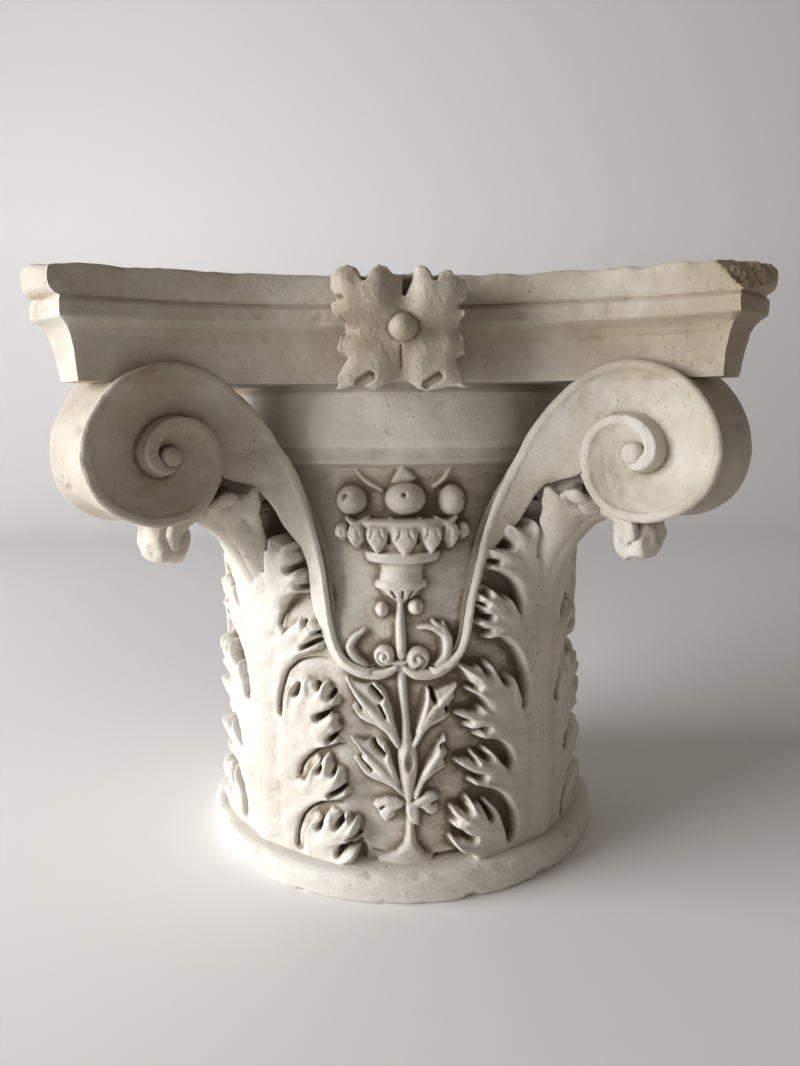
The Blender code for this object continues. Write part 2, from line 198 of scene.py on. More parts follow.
def closedShell(across, up, place, masks=None):
    # a grid rolled up into one closed skin: its sides meet, and its first and last rows are points
    mesh, a, b = gridMesh(across, up)
    setPoints(mesh, place(a, b))
    if masks:
        for name, values in masks(a, b).items():
            setMask(mesh, name, values)

    def weld(bm):
        bmesh.ops.remove_doubles(bm, verts=bm.verts, dist=weldDistance)
        bmesh.ops.recalc_face_normals(bm, faces=bm.faces)

    return worked(mesh, weld)


def intoScene(name, data):
    item = bpy.data.objects.new(name, data)
    bpy.context.scene.collection.objects.link(item)
    return item


def thinned(mesh, faces):
    # as many triangles as asked, kept where the shape needs them
    now = sum(len(p.vertices) - 2 for p in mesh.polygons)
    item = intoScene("thinning", mesh)
    step = item.modifiers.new("thin", "DECIMATE")
    step.ratio = min(1.0, faces / fine / now)
    step.use_collapse_triangulate = True
    result = bpy.data.meshes.new_from_object(item.evaluated_get(bpy.context.evaluated_depsgraph_get()))
    bpy.data.objects.remove(item)
    bpy.data.meshes.remove(mesh)
    return result


def addPiece(name, mesh, sharp=70):
    mesh.name = name
    setPoints(mesh, np.clip(getPoints(mesh), np.array(cadLow) / mm + 0.05, np.array(cadHigh) / mm - 0.05))
    mesh.materials.clear()
    mesh.materials.append(marble)
    mesh.shade_smooth()
    mesh.set_sharp_from_angle(angle=math.radians(sharp))
    item = intoScene(name, mesh)
    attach(item, "root")
    return item


def roundTheFaces(name, master, wear=0.3):
    # four copies, a quarter turn apart, the later three each worn a little differently
    pieces = []
    for i, side in enumerate(("front", "right", "back", "left")):
        mesh = master.copy()
        mesh.transform(Matrix.Rotation(quarterTurn * i, 4, "Z"))
        if i:
            points = getPoints(mesh)
            for axis in range(3):
                points[:, axis] += wear * waviness(points, 26, 40 * i + axis)
            setPoints(mesh, points)
        pieces.append(addPiece(f"{name}_{side}", mesh))
    bpy.data.meshes.remove(master)
    return pieces


marbleLook = {
    "light": (0.72, 0.68, 0.60),
    "warm": (0.56, 0.49, 0.385),
    "aged": (0.37, 0.305, 0.215),  # the patina of the upper parts
    "tan": (0.34, 0.265, 0.175),  # thin old dirt and painted shade in the hollows, and the brown stain of the break
    # dark dirt and painted shade deep in the hollows, and the dark specks
    "darkDirtAndShade": (0.125, 0.088, 0.052),
    # worn edges, lighter, which also carry a painted highlight
    "worn": (0.77, 0.735, 0.67),
    "roughness": 0.62, "hollowRoughness": 0.25,
    # how much of each colour is laid on
    "warmShare": 0.7, "streakShare": 0.35, "wornAndHighlightShare": 0.6, "tanShare": 0.6, "darkDirtAndShadeShare": 0.8,
    "breakShare": 0.85, "speckShare": 0.55,
    "agedShare": (0.26, 0.5),  # the patina everywhere, and more of it in the clouds
    "uneven": (0.4, 0.9),  # the clouds above which there is more dirt and painted shade, and how much that counts
    # where the dirt and painted shade, its tan layer and its dark one start, and where each is full
    "dirtAndShade": (0.02, 0.9), "tanHeld": (0.0, 0.5), "darkDirtAndShadeHeld": (0.35, 1.0),
    "moreSpecks": 0.4,  # on the break
    "grain": (0.55, 0.0006),  # strength and height of the bump
}
# The grain's layers as (scale, detail, roughness, share), and its pits as the first three and their range
grainLook = {
    "coarse": (150, 4, 0.6, 0.8), "fine": (900, 3, 0.6, 0.25), "pits": (330, 2, 0.5),
    "pitRange": (0.30, 0.42),
}
# Where each mark starts and where it is full, as a share of the noise or as a place in metres
stainLook = {
    "cloud": (0.36, 0.66), "streak": (0.45, 0.75), "speck": (0.64, 0.73), "patches": (0.45, 0.60),
    "streakStretch": (3, 3, 0.7), "speckSize": 420, "patchSize": 30,
    "farOut": (0.120, 0.140), "farUp": (0.20, 0.225), "slabUp": (0.281, 0.286), "slabShare": 1.35,
    "groundUp": (0.175, 0.225), "groundEnd": (0.252, 0.243), "groundShare": 0.7,
}


def newGroup(name, inputs, outputs):
    group = bpy.data.node_groups.new(name, "ShaderNodeTree")
    for label, kind, value in inputs:
        socket = group.interface.new_socket(label, in_out="INPUT", socket_type=kind)
        socket.default_value = value
    for label, kind in outputs:
        group.interface.new_socket(label, in_out="OUTPUT", socket_type=kind)
    return group, group.nodes.new("NodeGroupInput"), group.nodes.new("NodeGroupOutput")


def addNode(tree, kind, inputs=(), **settings):
    node = tree.nodes.new(kind)
    for key, value in settings.items():
        setattr(node, key, value)
    for socket, value in inputs:
        if isinstance(value, bpy.types.NodeSocket):
            tree.links.new(value, node.inputs[socket])
        else:
            node.inputs[socket].default_value = value
    return node


def mathNode(tree, operation, a, b=0.0):
    return addNode(tree, "ShaderNodeMath", [(0, a), (1, b)], operation=operation).outputs[0]


def times(tree, a, b):
    return mathNode(tree, "MULTIPLY", a, b)


def ramp(tree, value, low, high):
    return addNode(tree, "ShaderNodeMapRange", [(0, value), (1, low), (2, high)], clamp=True).outputs[0]


def mixColour(tree, share, a, b):
    node = addNode(tree, "ShaderNodeMix", data_type="RGBA")
    for socket, value in ((0, share), (6, a), (7, b)):
        if isinstance(value, bpy.types.NodeSocket):
            tree.links.new(value, node.inputs[socket])
        elif socket == 0:
            node.inputs[socket].default_value = value
        else:
            node.inputs[socket].default_value = (*value, 1)
    return node.outputs[2]


def noiseNode(tree, vector, scale, detail, roughness):
    settings = [("Vector", vector), ("Scale", scale), ("Detail", detail), ("Roughness", roughness)]
    return addNode(tree, "ShaderNodeTexNoise", settings).outputs[0]


def stainGroup(look):
    group, taken, given = newGroup(
        "stoneStain",
        [("Vector", "NodeSocketVector", (0, 0, 0)), ("Size", "NodeSocketFloat", 14.0)],
        [("Cloud", "NodeSocketFloat"), ("Streak", "NodeSocketFloat"), ("Speck", "NodeSocketFloat"),
         ("Patina", "NodeSocketFloat")],
    )
    vector, size = taken.outputs["Vector"], taken.outputs["Size"]
    cloud = noiseNode(group, vector, size, 5, 0.6)
    group.links.new(ramp(group, cloud, *look["cloud"]), given.inputs["Cloud"])
    tall = addNode(group, "ShaderNodeMapping", [("Vector", vector), ("Scale", look["streakStretch"])])
    streak = noiseNode(group, tall.outputs[0], size, 4, 0.6)
    group.links.new(ramp(group, streak, *look["streak"]), given.inputs["Streak"])
    dots = noiseNode(group, vector, look["speckSize"], 2, 0.5)
    patches = noiseNode(group, vector, look["patchSize"], 2, 0.5)
    speck = times(group, ramp(group, dots, *look["speck"]), ramp(group, patches, *look["patches"]))
    group.links.new(speck, given.inputs["Speck"])
    # old brown patina on the slab and on what stands far out under it
    x, y, z = addNode(group, "ShaderNodeSeparateXYZ", [("Vector", vector)]).outputs
    squares = [times(group, side, side) for side in (x, y)]
    out = mathNode(group, "SQRT", mathNode(group, "ADD", *squares))
    far = times(group, ramp(group, out, *look["farOut"]), ramp(group, z, *look["farUp"]))
    slab = times(group, ramp(group, z, *look["slabUp"]), look["slabShare"])
    ground = times(group, ramp(group, z, *look["groundUp"]), ramp(group, z, *look["groundEnd"]))
    ground = times(group, ground, look["groundShare"])
    patina = mathNode(group, "MAXIMUM", mathNode(group, "MAXIMUM", far, slab), ground)
    group.links.new(patina, given.inputs["Patina"])
    return group


def grainGroup(look):
    group, taken, given = newGroup(
        "stoneGrain",
        [("Vector", "NodeSocketVector", (0, 0, 0)), ("Pits", "NodeSocketFloat", 0.4)],
        [("Height", "NodeSocketFloat")],
    )
    vector = taken.outputs["Vector"]
    layers = []
    for name in ("coarse", "fine"):
        *noise, share = look[name]
        layers.append(times(group, noiseNode(group, vector, *noise), share))
    pits = ramp(group, noiseNode(group, vector, *look["pits"]), *look["pitRange"])
    height = mathNode(group, "ADD", *layers)
    height = mathNode(group, "ADD", height, times(group, pits, taken.outputs["Pits"]))
    group.links.new(height, given.inputs["Height"])
    return group


def marbleMaterial(look):
    stone = bpy.data.materials.new("marble")
    stone.use_nodes = True
    tree = stone.node_tree
    shader = tree.nodes["Principled BSDF"]
    place = addNode(tree, "ShaderNodeTexCoord").outputs["Object"]
    hollow, edge, broken = (addNode(tree, "ShaderNodeAttribute", attribute_name=name).outputs["Fac"]
                            for name in ("hollow", "edge", "break"))
    stain = addNode(tree, "ShaderNodeGroup", node_tree=stainGroup(stainLook))
    tree.links.new(place, stain.inputs["Vector"])
    grain = addNode(tree, "ShaderNodeGroup", node_tree=grainGroup(grainLook))
    tree.links.new(place, grain.inputs["Vector"])
    cloud, streak, speck, patina = (stain.outputs[name] for name in ("Cloud", "Streak", "Speck", "Patina"))
    colour = mixColour(tree, times(tree, cloud, look["warmShare"]), look["light"], look["warm"])
    colour = mixColour(tree, times(tree, streak, look["streakShare"]), colour, look["warm"])
    # proud edges painted lighter: worn stone and a painted highlight
    colour = mixColour(tree, times(tree, edge, look["wornAndHighlightShare"]), colour, look["worn"])
    everywhere, inClouds = look["agedShare"]
    aged = times(tree, patina, mathNode(tree, "ADD", everywhere, times(tree, cloud, inClouds)))
    colour = mixColour(tree, aged, colour, look["aged"])
    # dirt and painted shade lie in the hollows, unevenly: a thin tan layer, then the dark one
    even, counts = look["uneven"]
    uneven = times(tree, mathNode(tree, "SUBTRACT", cloud, even), times(tree, hollow, counts))
    dirtAndShade = ramp(tree, mathNode(tree, "ADD", hollow, uneven), *look["dirtAndShade"])
    for layer in ("tan", "darkDirtAndShade"):
        share = times(tree, ramp(tree, dirtAndShade, *look[layer + "Held"]), look[layer + "Share"])
        colour = mixColour(tree, share, colour, look[layer])
    colour = mixColour(tree, times(tree, broken, look["breakShare"]), colour, look["tan"])
    specks = mathNode(tree, "ADD", times(tree, broken, look["moreSpecks"]), look["speckShare"])
    colour = mixColour(tree, times(tree, speck, specks), colour, look["darkDirtAndShade"])
    tree.links.new(colour, shader.inputs["Base Color"])
    rough = mathNode(tree, "ADD", look["roughness"], times(tree, hollow, look["hollowRoughness"]))
    tree.links.new(rough, shader.inputs["Roughness"])
    strength, high = look["grain"]
    bump = addNode(tree, "ShaderNodeBump", [("Strength", strength), ("Distance", high),
                                            ("Height", grain.outputs["Height"])])
    tree.links.new(bump.outputs[0], shader.inputs["Normal"])
    return stone


marble = marbleMaterial(marbleLook)
print("marble mixed")


def newSheet(low, high, step, ground):
    # a height field over a flat drawing; ground is its bare surface
    across = int(round((high[0] - low[0]) / step))
    up = int(round((high[1] - low[1]) / step))
    u, z = np.meshgrid(np.linspace(low[0], high[0], across + 1), np.linspace(low[1], high[1], up + 1))
    bare = ground(u, z)
    return {"low": low, "high": high, "u": u, "z": z, "ground": bare, "top": bare.copy(), "step": step}


def sheetRipples(sheet, *waves):
    # ripples over the flat drawing
    flat = np.stack([sheet["u"].ravel(), sheet["z"].ravel(), np.zeros(sheet["u"].size)], axis=1)
    return ripples(flat, *waves).reshape(sheet["u"].shape)


def cellsAround(sheet, points, margin):
    # the window of cells that holds these points (u, z) with a margin round them
    window = []
    for axis in (1, 0):
        low, high = points[:, axis].min() - margin, points[:, axis].max() + margin
        count = sheet["u"].shape[1 - axis]
        first = int(np.clip((low - sheet["low"][axis]) / sheet["step"], 0, count - 1))
        last = int(np.clip((high - sheet["low"][axis]) / sheet["step"] + 2, 1, count))
        window.append(slice(first, last))
    return tuple(window)


def fromSegment(x, y, a, b):
    # distance of each cell from the line between a and b, and how far along it the nearest point lies
    run = b[:2] - a[:2]
    t = limit(((x - a[0]) * run[0] + (y - a[1]) * run[1]) / max(float(run @ run), 1e-9))
    return np.hypot(x - a[0] - t * run[0], y - a[1] - t * run[1]), t


def nearStroke(sheet, rows, margin):
    # for the cells near a tapering stroke: their window, distance from its line, and its values there
    line = bendThrough(rows) if len(rows) > 2 else np.array(rows, float)
    window = cellsAround(sheet, line, line[:, 2].max() + margin)
    x, y = sheet["u"][window], sheet["z"][window]
    best = np.full(x.shape, 1e9)
    distance = np.zeros(x.shape)
    values = np.zeros((*x.shape, line.shape[1] - 2))
    for a, b in zip(line, line[1:]):
        d, t = fromSegment(x, y, a, b)
        here = a[2:] + t[..., None] * (b[2:] - a[2:])
        closer = d - here[..., 0] < best
        best = np.where(closer, d - here[..., 0], best)
        distance = np.where(closer, d, distance)
        values = np.where(closer[..., None], here, values)
    return window, distance, values


def raiseStroke(sheet, rows, crown, edge=1.3, soft=1.5):
    # rows of (u, z, half width, top): a rounded ridge with steep sides
    window, distance, values = nearStroke(sheet, rows, edge)
    width, top = np.maximum(values[..., 0], 0.3), values[..., 1]
    face = top - crown * np.minimum(width / 4, 1.2) * np.minimum(distance / width, 1.2)**2
    inside = smoothStep((width - distance) / edge + 0.5)
    ground = sheet["ground"][window]
    new = ground + (face - ground) * inside
    old = sheet["top"][window]
    sheet["top"][window] = np.where(inside > 0, softMax(old, new, soft * inside), old)


def sinkStroke(sheet, rows, edge):
    # rows of (u, z, half width, floor)
    window, distance, values = nearStroke(sheet, rows, edge)
    inside = smoothStep((values[..., 0] - distance) / edge + 0.5)
    old = sheet["top"][window]
    sheet["top"][window] = old - inside * np.maximum(old - values[..., 1], 0)


def finger(sheet, rows, root, rise):
    # rows of (u, z, half width): the ridge of a finger, which swells before its tip
    line = np.array(rows, float)
    run = np.concatenate([[0], np.cumsum(np.hypot(*np.diff(line[:, :2], axis=0).T))])
    top = root + rise * np.interp(run / run[-1], (0, 0.45, 0.82, 1.0), (-0.2, 0.1, 1.0, 0.45))
    raiseStroke(sheet, np.column_stack([line, top]), crown=1.6, edge=2.4, soft=2.6)


# Each claw of the corner leaves: its outline (u, z), its fingers as ridges (u, z, half width) from root to
# tip, the drilled holes between them as (u, z, half width), and the gap above it, cut to the ground
rightClaws = [{  # the lowest
    "outline": (
        (66, 13), (63.4, 24), (59.4, 33.7), (56, 42), (52.4, 47.5), (50, 51.2), (47.6, 47.4), (44, 49.6),
        (41, 49.4), (38.2, 53), (37.4, 49), (34.4, 45), (31.6, 46.8), (27.4, 48.8), (28.2, 45.2),
        (30.6, 42.6), (28.2, 39.8), (33.7, 35.2), (35.6, 33), (34, 29), (27.4, 30.8), (28.4, 27),
        (33.7, 24.4), (38.4, 21.6), (40, 18), (43, 13),
    ),
    "fingers": (
        ((62, 20, 5), (52, 31, 5), (43, 39, 4.2), (35.6, 43.4, 2.6), (28.3, 48, 1)),
        ((62, 22, 5), (54, 33, 4.6), (45.6, 41.6, 3.4), (40.6, 46, 2.2), (38.3, 52.2, 0.9)),
        ((62, 24, 3), (58.6, 33, 2.6), (54.6, 42, 2), (50.4, 50, 0.8)),
        ((48, 33, 3.6), (39, 37.6, 3), (29, 39.4, 1)),
        ((60, 16, 5), (48, 20, 4.6), (38, 23.4, 2.8), (32, 26, 2), (28, 30, 0.9)),
    ),
    "holes": (
        ((34.2, 49.6, 1.6), (36, 47, 1.9)), ((46.8, 48.4, 1.3), (49.6, 43.4, 1.7), (51.4, 39.2, 1.7)),
        ((32, 33, 1), (36, 30.6, 1.9), (40, 28.8, 2.1)), ((20, 16.6, 3), (30, 17, 2.8), (36.6, 17.8, 2)),
    ),
    "gap": ((44, 55.4, 3), (51, 53.2, 3.8), (57.5, 48.4, 4.4), (61.9, 42, 4.6), (64.7, 35, 4.6),
            (66.1, 28, 4), (66, 24, 3.2)),
}, {  # the second
    "outline": (
        (78, 26), (73, 30), (70, 36), (67.6, 42.5), (63.4, 48.9), (57.5, 54.8), (51, 57.4), (45, 60.2),
        (39.4, 62.2), (40.2, 64.2), (44.5, 66), (39.6, 68.8), (36, 71.4), (30.4, 75.8), (33, 77.2),
        (38.2, 76.6), (39.8, 74.6), (41, 79.6), (43.6, 78.2), (44.6, 77.2), (48.4, 77), (49.2, 81),
        (51.6, 81), (56.4, 75.4), (60.2, 70.4), (63.4, 65.6), (68, 64), (80, 64),
    ),
    "fingers": (
        ((74, 38, 6), (64, 55, 5.6), (54, 66, 4.2), (43, 72.3, 2.6), (36, 74.6, 1.6), (31, 76.2, 0.7)),
        ((58, 64, 4), (49, 71, 2.8), (43.6, 74.6, 1.7), (41, 79, 0.7)),
        ((72, 48, 5), (64, 61, 4), (57.6, 69, 2.8), (53.6, 74.6, 2), (50.2, 80.8, 0.8)),
        ((74, 34, 6), (64, 49, 4.6), (56, 57.6, 3), (48, 60.8, 1.8), (40.2, 62.8, 0.8)),
    ),
    "holes": (((39.4, 78.4, 0.6), (40.6, 75.6, 1.1)), ((44.6, 79.4, 1.3), (46.8, 77.6, 1.8), (49.4, 75.6, 2)),
              ((38.6, 66.3, 1.2), (42, 66, 1.8), (46, 64.8, 2.2))),
    "gap": ((44, 85.6, 3.2), (51.5, 83.9, 3.6), (57.5, 80.2, 4.2), (61.9, 75.3, 3.8), (64.2, 70.2, 2.7)),
}, {  # the third
    "outline": (
        (82, 62), (70, 63), (66.8, 67.5), (65.4, 72.5), (62.3, 78.7), (57.5, 83.9), (51, 86.2), (43.2, 89.4),
        (45.2, 91.6), (48.6, 92.8), (44.4, 94.8), (38, 95.4), (36.4, 97.4), (37.8, 99.4), (31.2, 104.2),
        (36, 105), (42, 103.4), (45.2, 106.4), (48.2, 103.6), (51.8, 102.6), (51.4, 106), (48, 110),
        (44.4, 113.4), (41, 114.8), (37, 117.8), (40.4, 118), (41.8, 119.6), (38.8, 122), (35.6, 126.4),
        (32, 131.8), (37, 131), (40.6, 129.8), (43.8, 130.8), (46, 130), (47.4, 127), (48.6, 130),
        (50.4, 132), (55, 126.6), (58.8, 122.6), (62.2, 118.6), (63.8, 121.6), (66.2, 123), (70.4, 115),
        (73.2, 109), (73.4, 103), (76, 98), (82, 96),
    ),
    "fingers": (
        ((72, 78, 6), (63, 98, 6), (54, 112, 4.6), (46, 122, 3.2), (39.6, 127.4, 2), (32.8, 131.4, 0.7)),
        ((66, 98, 5), (58, 113, 4), (53.6, 123, 2.6), (50, 131.6, 0.8)),
        ((76, 78, 5), (73, 94, 4.6), (69.6, 107, 3.6), (67.4, 115, 2.3), (65.4, 122.4, 0.8)),
        ((60, 98, 5), (51, 109.6, 3), (44, 115.4, 1.9), (38, 117.6, 0.7)),
        ((74, 68, 6), (65, 82, 5.6), (56, 92.5, 4.2), (47, 99.5, 3), (38.5, 102.6, 1.9), (31.6, 103.9, 0.7)),
        ((56, 97, 3.6), (49.6, 102, 2.2), (45.4, 106, 0.7)),
        ((50, 96.4, 2.4), (43.5, 97, 1.6), (37.6, 96, 0.7)),
        ((72, 66, 5), (64, 77.6, 3.8), (56.5, 85.2, 2.4), (50, 88.2, 1.5), (44, 89.6, 0.6)),
    ),
    "holes": (
        ((45.6, 130.6, 0.8), (47.3, 128.4, 1.5), (48.6, 126, 1.6)),
        ((56.4, 125.8, 1.1), (60, 121.2, 1.6), (62.8, 118, 1.9)), ((39.4, 119.6, 0.8), (41.8, 118.6, 1.2)),
        ((34.5, 101.2, 0.8), (37.6, 99.2, 1.1)), ((41.5, 93.4, 0.9), (45, 93.8, 1.4), (48.8, 93, 1.8)),
    ),
    "gap": ((46, 139, 6.4), (55, 137.6, 7.4), (63, 133, 7.4), (69.3, 126, 5.6), (73.5, 119, 4),
            (75.8, 112, 2.9), (76, 106, 2.6), (75.6, 102.8, 2.4)),
}, {  # the fourth
    "outline": (
        (86, 100), (79, 108), (77.2, 117.5), (73.9, 126), (70.1, 134), (66, 140.2), (62.5, 143.6),
        (57.5, 145.4), (48.8, 145.4), (48.4, 147.6), (51, 149.6), (47.5, 151.6), (43, 154.4), (44, 156.6),
        (48.2, 157.8), (46.8, 161), (44.4, 163.4), (46, 165.2), (43.4, 167.4), (42.4, 171.2), (46, 171.6),
        (48.2, 169.8), (50.2, 174.6), (55, 171.6), (58.6, 168.8), (60.2, 168.4), (62.4, 170.8), (66.6, 163.6),
        (70, 158.6), (76, 154), (86, 150),
    ),
    "fingers": (
        ((76, 120, 6), (73, 138, 6), (64.6, 153, 4.6), (56, 162, 3.4), (49.4, 167.6, 2.1), (43, 170.8, 0.7)),
        ((60, 159, 3.4), (54, 167, 2.2), (50.4, 173.6, 0.8)),
        ((74, 140, 5), (69, 152.6, 3.6), (65, 162, 2.2), (62.3, 169.6, 0.8)),
        ((58, 158, 3.4), (50, 162.4, 2), (44.6, 165, 0.7)),
        ((76, 126, 6), (69, 142, 4.6), (59, 151.4, 3), (50, 154.6, 1.6), (43.6, 155.6, 0.6)),
        ((77, 120, 4.6), (71, 135, 3.6), (64, 144.2, 2.3), (55, 147.6, 1.3), (49, 146.6, 0.6)),
    ),
    "holes": (((46.6, 172.8, 0.8), (48.2, 170.6, 1.1)), ((44.6, 166.4, 0.5), (46.6, 165.2, 0.8)),
              ((47.4, 158.2, 1.5), (50, 157.8, 2.1)), ((48.6, 149.8, 0.7), (50.5, 149.8, 1.2)),
              ((58, 170.2, 1.1), (59.4, 168.2, 1.1))),
    "gap": ((50, 178, 3), (57, 177.2, 4), (63, 173.4, 4.2), (67, 167.4, 3.2), (69.4, 162.4, 1.8)),
}, {  # the highest
    "outline": (
        (82, 146), (72, 158.6), (70.8, 165), (68.2, 172.5), (63.7, 178.2), (57.5, 182.4), (48.8, 185.4),
        (49.4, 187.6), (54.8, 188.4), (50, 191.6), (46.4, 196.2), (50.6, 197.2), (56, 194.8), (61.8, 196),
        (61, 200), (56.8, 203.4), (55.8, 207), (56.8, 212.2), (60.6, 210.8), (63.4, 208.4), (67.2, 207.6),
        (70, 209), (72.4, 212.8), (76, 207.2), (79, 203.6), (84, 203.8), (87.4, 204), (89.4, 199),
        (92.5, 196), (92.5, 146),
    ),
    "fingers": (
        ((78, 156, 6), (74, 172, 5.6), (66, 186, 4.4), (58, 192.6, 3), (52.4, 195, 1.8), (47.2, 196.6, 0.7)),
        ((76, 162, 5), (68.6, 177, 4), (60, 184.6, 2.4), (50, 186.8, 0.7)),
        ((82, 164, 6), (76, 184, 5.6), (70, 197, 4.2), (64.5, 204, 2.6), (57.4, 211.6, 0.8)),
        ((72, 196, 4), (65.6, 201.6, 2.2), (57.6, 204.4, 0.7)),
        ((79, 182, 5), (74.5, 197, 3.6), (72.8, 205, 2.4), (72.3, 212, 0.9)),
    ),
    "holes": (
        ((50.5, 189.4, 0.8), (53.8, 188.9, 1.5)), ((51.5, 203.4, 2.4), (57, 200.6, 2.3), (61.8, 197.4, 1.7)),
        ((64.4, 210.6, 1.1), (67.4, 209.2, 1.6)), ((78.5, 207, 1.8), (80.5, 204.2, 1.5)),
    ),
    "gap": None,
}]
